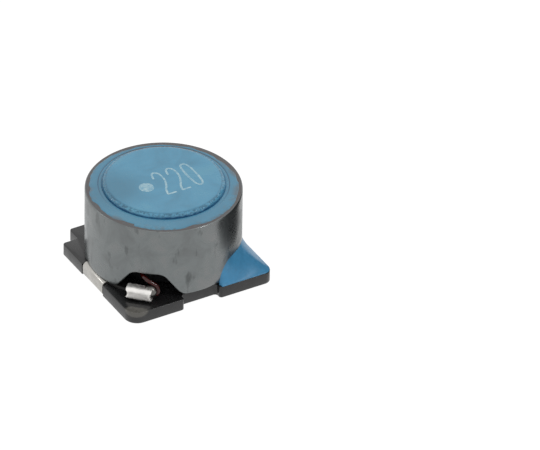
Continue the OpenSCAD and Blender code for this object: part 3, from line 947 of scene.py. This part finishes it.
def weld_drop(size):
    """A drop of melted metal at the lug's end, sagging a little round the wire."""
    centre = Vector((LUG_BACK + (LUG_DEPTH - STRIP) / 2 - 0.16, *bead_place(size)))
    rows, around, up = [], 48, 30
    for i in range(up + 1):
        lat = math.pi * (i / up - 0.5)
        row = []
        for k in range(around):
            lon = 2 * math.pi * k / around
            d = Vector((math.cos(lat) * math.cos(lon), math.cos(lat) * math.sin(lon),
                        math.sin(lat)))
            r = size / 2 * (1 + 0.05 * lumps(d.x, d.y, d.z, 0.8) - 0.04 * max(0, -d.z))
            row.append(centre + d * r)
        rows.append(row)
    return grid(rows, wrap_cols=True)


class INDUCTOR_OT_terminals(bpy.types.Operator):
    """Fold the two tin-plated strips and crimp their lugs"""
    bl_idname = "inductor.terminals"
    bl_label = "Folded Terminals"

    def execute(self, context):
        s = context.scene.inductor_terminals
        strip = matte_tin(s.colour, s.rough)
        # the lug's tin is painted lighter than the strip's: a painted highlight for the bright
        # reflection on its front face
        bright = blend(s.colour, (1, 0.98, 0.95), 0.8)
        pressed = matte_tin(bright, 0.42, name="lug_tin_with_painted_highlight", dents=0.35)
        # near-black adhesive over the arm: partly real adhesive, partly painted shade for the dark
        # inside the arch
        dark = cured_adhesive("black_adhesive_and_arm_shade", linear("#141312"), 0.5)
        width = s.strip_width * 1000
        flat = joined(folded_strip(width), curved_arm(width), turned(lug_tab(), LUG_AXIS))
        lug, bond_and_shade_shell = folded_lug(s.crimp * 1000), bond_and_arm_shade(width)
        for name, angle in (("terminal_a", 0.0), ("terminal_b", math.pi)):
            folded = new_object(f"folded_{name}", turned(flat, angle))
            soften(folded, 0.03, segments=2, angle=60)
            dress(folded, [strip], "tinned_strip", name)
            crimped = new_object(f"crimped_lug_{name[-1]}", turned(lug, LUG_AXIS + angle))
            dress(crimped, [pressed], "tinned_strip", sharp=60)
            smear_and_shade = new_object(f"ring_bond_{name[-1]}", turned(bond_and_shade_shell, angle))
            dress(smear_and_shade, [dark], "adhesive", sharp=60)
        return {"FINISHED"}


class INDUCTOR_OT_welds(bpy.types.Operator):
    """Add the drop of weld metal at each lug"""
    bl_idname = "inductor.welds"
    bl_label = "Weld Beads"

    def execute(self, context):
        s = context.scene.inductor_terminals
        # the bead's metal is the strip's tin darkened to a third: painted shade for the dark
        # surroundings the bead mirrors
        metal = matte_tin(tint(s.colour, 0.32), 0.22, name="melted_tin_and_copper", dents=0.3)
        for name, angle in (("weld_bead_a", 0.0), ("weld_bead_b", math.pi)):
            obj = new_object(f"melted_{name}", turned(weld_drop(s.bead * 1000), LUG_AXIS + angle))
            dress(obj, [metal], "weld_metal", name, sharp=80)
        return {"FINISHED"}


# ------------------------------------------------------------------ drum and winding

def turned_drum():
    """Section of the drum core: two flanges and the neck, every edge a little rounded."""
    base, top, rim = DRUM_LOW.z, DRUM_TOP - 0.01, CORE_R
    low, high = base + DRUM_FLANGE_H, top - DRUM_FLANGE_H
    section = rounded([(0.01, base, 0), (rim, base, 0.15), (rim, low, 0.1), (NECK_R, low, 0.2),
                       (NECK_R, high, 0.2), (rim, high, 0.1), (rim, top, 0.15),
                       (0.01, top, 0)], 4)
    return capped([circle(r, 120, z, DRUM_SET) for r, z in section])


class INDUCTOR_OT_drum(bpy.types.Operator):
    """Turn the ferrite drum and give the adhesive under it its finish"""
    bl_idname = "inductor.drum"
    bl_label = "Ferrite Drum"

    def execute(self, context):
        drum = new_object("turned_ferrite_drum", turned_drum())
        dress(drum, [sintered_ferrite(linear("#1a1b1c"))], "ferrite", "drum_core")
        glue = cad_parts["drum_adhesive"]
        glue.data.materials.clear()
        glue.data.materials.append(cured_adhesive("cured_adhesive", linear("#b9b09a"), 0.7))
        return {"FINISHED"}


def lead_route(coil_r, wire_r, bead_size):
    """One wire end in the lug's frame: off the coil, through the arch, behind the bead and
    into the lug."""
    lead_z = RING_BASE + ARCH_H - 0.18 - wire_r
    wall_x, exit_x = (BORE_R + RING_R) / 2, RING_R + wire_r / 2
    crimp_x = LUG_BACK + (LUG_DEPTH - STRIP) / 2
    bead_y, bead_z = bead_place(bead_size)
    d, r = bead_size / 2 + wire_r / 2, wire_r * 1.6
    bend_y, crimp_z = bead_y + d - r, LUG_LOW + STRIP + wire_r + 0.02

    def arch_y(x):
        return x * math.sin(ARCH_TURN)

    def behind(angle):
        a = math.radians(angle)
        return (exit_x, bead_y + d * math.cos(a), bead_z + d * math.sin(a))

    def under(angle):
        a = math.radians(angle)
        return (exit_x + r * (1 - angle / 90) / 4, bend_y + r * math.cos(a),
                crimp_z + r + r * math.sin(a))

    # the wire leaves the coil at one side and crosses the arch on a slant
    return [(coil_r - wire_r * 3.5, -1.9, lead_z),
            (coil_r + wire_r * 3.5, arch_y(coil_r) - 1.05, lead_z),
            (wall_x, arch_y(wall_x) - 0.55, lead_z),
            (exit_x, arch_y(exit_x) - 0.05, lead_z - wire_r / 4),
            behind(60), behind(32), under(0), under(-45), under(-90),
            (crimp_x, LUG_WIDTH * 0.35, crimp_z), (crimp_x, -LUG_WIDTH / 4, crimp_z)]


def coil_path(neck_r, wire, turns, layers, low, high):
    """Turns of wire up and down the neck, one layer on the next."""
    path, steps = [], 36
    pitch = (high - low) / (turns + 0.5)
    for layer in range(layers):
        r = neck_r + wire * (layer + 0.5)
        for k in range(turns * steps + 1):
            share = k / steps * pitch
            z = low + wire / 2 + share if layer % 2 == 0 else high - wire / 2 - share
            a = 2 * math.pi * k / steps
            path.append((DRUM_SET.x + r * math.cos(a), DRUM_SET.y + r * math.sin(a), z))
    return path


class INDUCTOR_OT_winding(bpy.types.Operator):
    """Wind the coil and lead both wire ends out to the lugs"""
    bl_idname = "inductor.winding"
    bl_label = "Copper Winding"

    def execute(self, context):
        s = context.scene.inductor_winding
        wire = s.wire * 1000
        bead = context.scene.inductor_terminals.bead * 1000
        clear = DRUM_FLANGE_H + 0.03
        low, high = DRUM_LOW.z + clear, DRUM_TOP - clear
        shells = [tube(coil_path(NECK_R, wire, s.turns, s.layers, low, high), wire / 2 * 0.98, 8)]
        coil_r = NECK_R + s.layers * wire
        route = curve_through(lead_route(coil_r, wire / 2, bead), 8)
        for angle in (0.0, math.pi):
            shells.append(turned(tube(route, wire / 2, 20), LUG_AXIS + angle))
        coil = new_object("enamelled_winding", joined(*shells))
        dress(coil, [wire_enamel(s.colour)], "enamelled_wire", "winding", sharp=60)
        return {"FINISHED"}


# ------------------------------------------------------------------ shield ring

def arch_profile():
    """Points (distance across, height) over an arch, from one foot to the other."""
    foot, top, r = 2.65, 1.25, 1.0
    line = rounded([(-foot - r, 0, 0), (-foot, 0, r * 0.8), (-top, ARCH_H, r),
                    (top, ARCH_H, r), (foot, 0, r * 0.8), (foot + r, 0, 0)], 12)
    return stepped(line, 0.12) + [line[-1]]


def ring_columns():
    """For each column of the wall: outer angle, inner angle and the height of its foot."""
    arch, between = arch_profile(), 60
    columns = []
    for side in (0, math.pi):
        for p in arch:
            columns.append((side + math.asin(p.x / RING_R), side + math.asin(p.x / BORE_R), p.y))
        outer, inner = math.asin(arch[-1].x / RING_R), math.asin(arch[-1].x / BORE_R)
        for k in range(1, between):
            columns.append((side + outer + (math.pi - 2 * outer) * k / between,
                            side + inner + (math.pi - 2 * inner) * k / between, 0.0))
    return columns


class INDUCTOR_OT_shield_ring(bpy.types.Operator):
    """Press and grind the ferrite shield ring with its two arches"""
    bl_idname = "inductor.shield_ring"
    bl_label = "Shield Ring"

    def execute(self, context):
        s = context.scene.inductor_shield
        axis = LUG_AXIS + ARCH_TURN
        levels = 14
        rows = [[] for _ in range(2 * levels + 2)]
        for outer, inner, foot in ring_columns():
            base = RING_BASE + foot
            for k in range(levels + 1):
                z = base + (RING_TOP - base) * k / levels
                rows[k].append((RING_R * math.cos(axis + outer),
                                RING_R * math.sin(axis + outer), z))
                rows[2 * levels + 1 - k].append((BORE_R * math.cos(axis + inner),
                                                 BORE_R * math.sin(axis + inner), z))
        ring = new_object("ferrite_shield_ring", grid(rows, wrap_rows=True, wrap_cols=True))
        soften(ring, s.edge * 1000, segments=4, angle=50)
        dress(ring, [ground_ferrite(s.colour, s.rough), fired_face(linear("#434447"))],
              "ferrite", "shield_ring", sharp=50)
        # the upper end face is the second finish
        for face in ring.data.polygons:
            if face.normal.z > 0.85 and face.center.z > (RING_TOP - 0.2) / 1000:
                face.material_index = 1
        return {"FINISHED"}


# ------------------------------------------------------------------ epoxy

def swell(angle, middle, spread):
    """1 at the middle angle, falling off over the spread; all in degrees."""
    off = (math.degrees(angle) - middle + 180) % 360 - 180
    return math.exp(-(off / spread) ** 2)


def coat_edge(angle, bare):
    """Radius at which the brushed coat ends: it wanders, is nicked here and there, stays back
    in three places and stops short at one brush end."""
    x, y = math.cos(angle), math.sin(angle)
    wander = 0.07 * lumps(x, y, 0.3, 0.4) + 0.045 * lumps(x, y, 4.2, 0.13)
    wander += 0.02 * lumps(x, y, 2.2, 0.05)
    nick = max(0.0, lumps(x, y, 9.1, 0.2) - 0.2) * 0.35
    back = 0.2 * swell(angle, 22, 24) + 0.16 * swell(angle, 75, 20) + 0.05 * swell(angle, 185, 12)
    off = (math.degrees(angle) + 160) % 360
    short = 0.26 * min(1, off / 7) if off < 17.5 else 0.0
    return min(RING_R - 0.1, RING_R - bare + wander - nick - back - short)


def coat_rows(bare, sink, around):
    """The coat's rings of points, from the middle of the drum to the coat's edge."""
    crown = COAT_TOP - 0.006
    low = FILM_TOP - sink
    # radius, height, share of the drum's set-off, and crumbs where the coat ran thin
    section = [(r, crown, 1, 0) for r in (0.0, 0.5, 1.0, 1.6, 2.2, 2.8, 3.4, 3.9, 4.2, 4.38)]
    # the shoulder over the drum's edge, a long soft round
    shoulder = [math.pi / 2 * k / 12 for k in range(1, 13)]
    section += [(4.46 + 0.41 * math.sin(t), low + (crown - low) * math.cos(t) ** 0.8, 1,
                 math.sin(2 * t)) for t in shoulder[:-1]]
    section += [(4.88, low, 1, 0), (4.93, low, 1, 0), (4.965, low + 0.03, 1, 0),
                (5.0, FILM_TOP - 0.012, 1, 0), (5.04, FILM_TOP + 0.002, 1, 0),
                (5.1, FILM_TOP + 0.004, 1, 0), (5.15, FILM_TOP, 1, 0), (5.19, FILM_TOP, 1, 0),
                (5.22, FILM_TOP, 1, 0), (5.26, FILM_TOP, 1, 0), (5.3, FILM_TOP, 1, 0)]
    rows = []
    for r, z, set_off, crumbs in section:
        row = []
        for k in range(around):
            a = 2 * math.pi * k / around
            x, y = math.cos(a), math.sin(a)
            run = r + (0.02 * lumps(x, y, 2.0, 0.3) + 0.012 * lumps(x, y, 5.0, 0.07)
                       if 4.55 < r else 0)
            crumb = crumbs * (0.05 * lumps(x * r, y * r, z * 2, 0.3)
                              + 0.035 * lumps(x * r, y * r, z * 2, 0.13))
            # the coat sags a little into the gap, most of all at the far side
            sag = 0.05 * swell(a, 60, 95) * max(0, 1 - ((r - 5.2) / 0.09) ** 2) if r > 5.1 else 0
            px, py = run * x + DRUM_SET.x * set_off, run * y + DRUM_SET.y * set_off
            wave = 0.005 * lumps(px, py, 1.0, 1.4)
            row.append((px + crumb * x, py + crumb * y,
                        min(COAT_TOP, z - sag + wave - abs(crumb) * 0.6)))
        rows.append(row)
    # the film on the ring runs on to the coat's ragged edge and thins out there
    last = rows[-1]
    for share in (0.15, 0.35, 0.55, 0.7, 0.82, 0.9, 0.95, 0.985, 1.0):
        row = []
        for k in range(around):
            a = 2 * math.pi * k / around
            edge = coat_edge(a, bare)
            x = last[k][0] + (edge * math.cos(a) - last[k][0]) * share
            y = last[k][1] + (edge * math.sin(a) - last[k][1]) * share
            fall = 0.0 if share < 0.8 else 0.036 * ((share - 0.8) / 0.2) ** 2
            wave = 0.01 * lumps(x, y, 1.0, 0.7) * math.sin(math.pi * share)
            row.append((x, y, FILM_TOP - fall + wave))
        rows.append(row)
    return rows


class INDUCTOR_OT_top_epoxy(bpy.types.Operator):
    """Brush the blue epoxy over drum, gap and ring"""
    bl_idname = "inductor.top_epoxy"
    bl_label = "Top Epoxy"

    def execute(self, context):
        s = context.scene.inductor_epoxy
        around = 420
        rows = coat_rows(s.bare_rim * 1000, s.sink * 1000, around)
        rows.append([(x, y, RING_TOP - 0.012) for x, y, z in rows[-1]])
        # back over the ring's face, down the gap, and up again to cover the drum
        bore, rim, under = BORE_R - 0.01, CORE_R + 0.01, DRUM_TOP - 0.008
        for r, z, set_off in ((bore, RING_TOP - 0.14, 0), (bore, FILL_BASE, 0),
                              (rim, FILL_BASE, 1), (rim, DRUM_TOP - 0.15, 1),
                              (rim - 0.17, under, 1), (0.0, under, 1)):
            rows.append(circle(r, around, z, DRUM_SET * set_off))
        coat = new_object("blue_top_coat", grid(rows, wrap_cols=True))
        merge_points(coat)
        dress(coat, [brushed_epoxy(s.coat_colour, s.rough)], "blue_epoxy", "top_epoxy", sharp=60)
        return {"FINISHED"}


def plate_edge(off):
    """Distance from the centre to just inside the plate's outline, off degrees from the
    diagonal."""
    inside = 0.02
    r, c = CORNER_R - inside, (HALF - CORNER_R) * math.sqrt(2)
    side = math.radians(45 - abs(off))
    flat = (HALF - inside) / math.cos(side)
    if flat * math.sin(side) < HALF - CORNER_R:
        return flat
    o = math.radians(off)
    return c * math.cos(o) + math.sqrt(max(0, r * r - (c * math.sin(o)) ** 2))


class INDUCTOR_OT_corner_epoxy(bpy.types.Operator):
    """Run the blue epoxy fillet into the corner between ring and plate"""
    bl_idname = "inductor.corner_epoxy"
    bl_label = "Corner Epoxy"

    def execute(self, context):
        s = context.scene.inductor_epoxy
        # half its angle round the ring in degrees, its greatest rise and its wet edge in mm
        span, height, rim = 29.0, 1.75, 0.07
        slices, steps = 110, 26
        rows = []
        for i in range(slices + 1):
            off = -span + 2 * span * i / slices
            a = math.radians(off - 45)
            edge, wall = plate_edge(off), RING_R - 0.015
            climb = max(0.0, 1 - (abs(off) / span) ** 4) ** 0.6 * (1 - 0.25 * off / span)
            climb *= 1 + 0.05 * lumps(off / 10, 0.0, 3.0, 1.0)
            rise = max(0.0, height * climb - rim)
            row = [(wall * math.cos(a), wall * math.sin(a), PLATE_TOP),
                   (edge * math.cos(a), edge * math.sin(a), PLATE_TOP),
                   ((edge - 0.005) * math.cos(a), (edge - 0.005) * math.sin(a),
                    PLATE_TOP + rim * 0.55)]
            for k in range(steps + 1):
                t = k / steps
                r = edge - 0.03 + (wall - edge + 0.03) * t
                # wet edge rounds over at the plate and thins out as it creeps up the ring
                z = rim + rise * t ** 1.25 + 0.09 * max(0.0, t - 0.9) / 0.1 * min(1, rise)
                z += 0.02 * lumps(r * math.cos(a), r * math.sin(a), 7.0, 1.1) * math.sin(
                    math.pi * t)
                row.append((r * math.cos(a), r * math.sin(a), PLATE_TOP + z))
            rows.append(row)
        fillet = new_object("blue_corner_fillet", capped(rows, clockwise=True))
        dress(fillet, [poured_epoxy(s.corner_colour, s.rough + 0.12)],
              "blue_epoxy", "corner_epoxy", sharp=50)
        return {"FINISHED"}


# ------------------------------------------------------------------ printed value

def glyph(digit, width, height):
    """The pen's path through a digit, and whether it closes."""
    if digit == "0":
        path = [(0.5 + 0.5 * math.copysign(abs(math.cos(a)) ** 0.7, math.cos(a)),
                 0.5 + 0.5 * math.copysign(abs(math.sin(a)) ** 0.8, math.sin(a)))
                for a in (2 * math.pi * k / 36 for k in range(36))]
        return [Vector((x * width, y * height)) for x, y in path], True
    points = [(0.02, 0.76), (0.12, 0.92), (0.32, 0.99), (0.6, 1.0), (0.86, 0.93), (0.98, 0.79),
              (0.96, 0.63), (0.8, 0.48), (0.5, 0.32), (0.2, 0.17), (0.02, 0.0)]
    bend = curve_through([(x * width, y * height, 0) for x, y in points], 4)
    path = [Vector((p.x, p.y)) for p in bend]
    # the foot runs straight out from the sharp corner
    return path + [Vector((width * k / 6, 0)) for k in range(1, 7)], False


def stroke_shell(path_and_closed, width, ragged, low, high, shift=(0, 0), mirror=False):
    """A flat stroke along a path, with slightly ragged sides."""
    path, closed = path_and_closed
    n = len(path)
    left, right = [], []
    for i, p in enumerate(path):
        before = path[(i - 1) % n] if closed or i else p
        after = path[(i + 1) % n] if closed or i < n - 1 else p
        ahead = (after - before).normalized()
        side = Vector((-ahead.y, ahead.x))
        for edge, sign in ((left, 1), (right, -1)):
            q = p + side * sign * (width / 2 + ragged * lumps(p.x * 3, p.y * 3, sign, 0.5))
            q = q + Vector(shift)
            edge.append((-q.x if mirror else q.x, q.y))
    rows = [[(*q, z) for q in edge] for edge, z in
            ((right, low), (right, high), (left, high), (left, low))]
    verts, faces = grid(rows, wrap_rows=True, wrap_cols=True) if closed else carried(rows)
    if mirror:
        faces = [tuple(reversed(f)) for f in faces]
    return verts, faces


class INDUCTOR_OT_print(bpy.types.Operator):
    """Print the value and the dot that marks the start of the winding"""
    bl_idname = "inductor.printed_value"
    bl_label = "Printed Value"

    def execute(self, context):
        s = context.scene.inductor_print
        if set(s.value) - set("02"):
            raise ValueError("only the digits 0 and 2 have a pen path")
        low, high = COAT_TOP - 0.02, COAT_TOP
        pitch, width = 1.3, 0.78
        shells = []
        for i, digit in enumerate(s.value):
            pen = glyph(digit, width, s.height * 1000)
            shells.append(stroke_shell(pen, s.stroke * 1000, 0.035, low, high,
                                       shift=(-0.48 + i * pitch, -1.56)))
        dot_x, dot_y, dot_r = -1.53, 0.06, 0.6
        dot = []
        for x, y, z in circle(1, 60):
            r = dot_r + 0.05 * lumps(x, y, 1.0, 0.6)
            dot.append((dot_x + r * x, dot_y + r * y))
        shells.append(prism(dot, low, high))
        value = new_object("printed_value", joined(*shells))
        coat = context.scene.inductor_epoxy.coat_colour
        dress(value, [pad_print_ink(s.colour, coat)], "blue_epoxy")
        return {"FINISHED"}


# ------------------------------------------------------------------ stage

def aim(obj, target):
    """Turns a lamp to face a target."""
    obj.rotation_euler = (Vector(target) - obj.location).to_track_quat("-Z", "Y").to_euler()


def seen(tree):
    """1 for what the camera, gloss and glass see directly, 0 for light that falls on things."""
    path = add_node(tree, "ShaderNodeLightPath")
    first = add_node(tree, "ShaderNodeMath", {0: path.outputs["Is Camera Ray"],
                                              1: path.outputs["Is Glossy Ray"]},
                     operation="MAXIMUM").outputs[0]
    return add_node(tree, "ShaderNodeMath", {0: first, 1: path.outputs["Is Transmission Ray"]},
                    operation="MAXIMUM").outputs[0]


class INDUCTOR_OT_stage(bpy.types.Operator):
    """Set the white table, soft lamps and camera"""
    bl_idname = "inductor.stage"
    bl_label = "Stage"

    def execute(self, context):
        scene, s = context.scene, context.scene.inductor_stage
        floor = new_object("white_table", prism([(-900, -900), (900, -900), (900, 900),
                                                 (-900, 900)], -1.0, 0.0))
        paper, tree = new_material("white_paper")
        matte = add_node(tree, "ShaderNodeBsdfDiffuse", {"Color": (0.82, 0.82, 0.82, 1)})
        half = add_node(tree, "ShaderNodeBsdfDiffuse", {"Color": (0.16, 0.16, 0.16, 1)})
        glow = add_node(tree, "ShaderNodeEmission", {"Color": (1, 1, 1, 1), "Strength": 0.95})
        bright = add_node(tree, "ShaderNodeAddShader", {0: half.outputs[0], 1: glow.outputs[0]})
        mixed = add_node(tree, "ShaderNodeMixShader", {0: seen(tree), 1: matte.outputs[0],
                                                       2: bright.outputs[0]})
        add_node(tree, "ShaderNodeOutputMaterial", {"Surface": mixed.outputs[0]})
        floor.data.materials.append(paper)

        world = bpy.data.worlds.new("white_room")
        world.use_nodes = True
        tree = world.node_tree
        tree.nodes.clear()
        strength = add_node(tree, "ShaderNodeMapRange",
                            {"Value": seen(tree), "To Min": s.sky, "To Max": 1.0}).outputs[0]
        light = add_node(tree, "ShaderNodeBackground",
                         {"Color": (1, 1, 1, 1), "Strength": strength})
        add_node(tree, "ShaderNodeOutputWorld", {"Surface": light.outputs[0]})
        scene.world = world

        # where each lamp hangs and its diameter, in metres, and its share of the key's power
        for name, place, size, share in (("key", (-0.12, -0.16, 0.3), 0.22, 0.8),
                                         ("fill", (0.26, 0.1, 0.2), 0.2, 0.35),
                                         ("front_glint", (0.1435, -0.2, 0.248), 0.03, 2.0),
                                         ("back_glint", (-0.255, 0.198, 0.2), 0.03, 1.2)):
            lamp = bpy.data.lights.new(name, "AREA")
            lamp.shape, lamp.size, lamp.energy = "DISK", size, s.key * share
            holder = bpy.data.objects.new(name, lamp)
            holder.location = place
            aim(holder, (0, 0, 0.003))
            scene.collection.objects.link(holder)

        if s.flag:
            card = new_object("dark_card",
                              prism(circle(6.8, 40, centre=(15, -7.3)), 0.0, 11.0))
            card.data.materials.append(black_felt())
            card.visible_camera = False
            card.visible_diffuse = False
            card.visible_shadow = False

        back = Vector((math.sin(s.azimuth) * math.cos(s.elevation),
                       -math.cos(s.azimuth) * math.cos(s.elevation), math.sin(s.elevation)))
        right = Vector((math.cos(s.azimuth), math.sin(s.azimuth), 0))
        up = back.cross(right)
        # the view's middle lies to the right of the part and above it, in mm
        place = (right * 8.435 + up * 3.136 + Vector((0, 0, 0.08))) / 1000 + back * s.distance
        level, rise = math.cos(s.roll), math.sin(s.roll)
        across, over = right * level - up * rise, right * rise + up * level
        camera = bpy.data.objects.new("camera", bpy.data.cameras.new("camera"))
        camera.matrix_world = Matrix((
            (across.x, over.x, back.x, place.x), (across.y, over.y, back.y, place.y),
            (across.z, over.z, back.z, place.z), (0, 0, 0, 1)))
        camera.data.lens, camera.data.sensor_width = s.lens, 36.0
        camera.data.clip_start, camera.data.clip_end = 0.01, 10
        scene.collection.objects.link(camera)
        scene.camera = camera
        scene.view_settings.view_transform = "Standard"
        return {"FINISHED"}


# ------------------------------------------------------------------ panel and registration

class INDUCTOR_PT_parts(bpy.types.Panel):
    """Lists the pieces and their settings"""
    bl_label = "Shielded Inductor"
    bl_idname = "INDUCTOR_PT_parts"
    bl_space_type = "VIEW_3D"
    bl_region_type = "UI"
    bl_category = "Inductor"

    def draw(self, context):
        for title, group, steps in SECTIONS:
            box = self.layout.box()
            box.label(text=title)
            settings = getattr(context.scene, group)
            for name in settings.__annotations__:
                box.prop(settings, name)
            for step in steps:
                box.operator(step.bl_idname)


SECTIONS = (
    ("Moulded base", "inductor_base", (INDUCTOR_OT_moulded_base,)),
    ("Terminals", "inductor_terminals", (INDUCTOR_OT_terminals, INDUCTOR_OT_welds)),
    ("Shield and drum", "inductor_shield", (INDUCTOR_OT_drum, INDUCTOR_OT_shield_ring)),
    ("Winding", "inductor_winding", (INDUCTOR_OT_winding,)),
    ("Epoxy", "inductor_epoxy", (INDUCTOR_OT_top_epoxy, INDUCTOR_OT_corner_epoxy)),
    ("Print", "inductor_print", (INDUCTOR_OT_print,)),
    ("Stage", "inductor_stage", (INDUCTOR_OT_stage,)),
)
GROUPS = {
    "inductor_base": MouldedBaseSettings,
    "inductor_terminals": TerminalSettings,
    "inductor_winding": WindingSettings,
    "inductor_shield": ShieldSettings,
    "inductor_epoxy": EpoxySettings,
    "inductor_print": PrintSettings,
    "inductor_stage": StageSettings,
}
OPERATORS = [step for section in SECTIONS for step in section[2]]


def register():
    """Registers the classes and hangs the settings on the scene."""
    for cls in [*GROUPS.values(), *OPERATORS, INDUCTOR_PT_parts]:
        bpy.utils.register_class(cls)
    for name, group in GROUPS.items():
        setattr(bpy.types.Scene, name, PointerProperty(type=group))


def unregister():
    """Takes the settings and classes away again."""
    for name in GROUPS:
        delattr(bpy.types.Scene, name)
    for cls in reversed([*GROUPS.values(), *OPERATORS, INDUCTOR_PT_parts]):
        bpy.utils.unregister_class(cls)


def main():
    register()
    bpy.ops.inductor.moulded_base()
    bpy.ops.inductor.terminals()
    bpy.ops.inductor.welds()
    bpy.ops.inductor.drum()
    bpy.ops.inductor.winding()
    bpy.ops.inductor.shield_ring()
    bpy.ops.inductor.top_epoxy()
    bpy.ops.inductor.corner_epoxy()
    bpy.ops.inductor.printed_value()
    bpy.ops.inductor.stage()


if __name__ == "__main__":
    main()
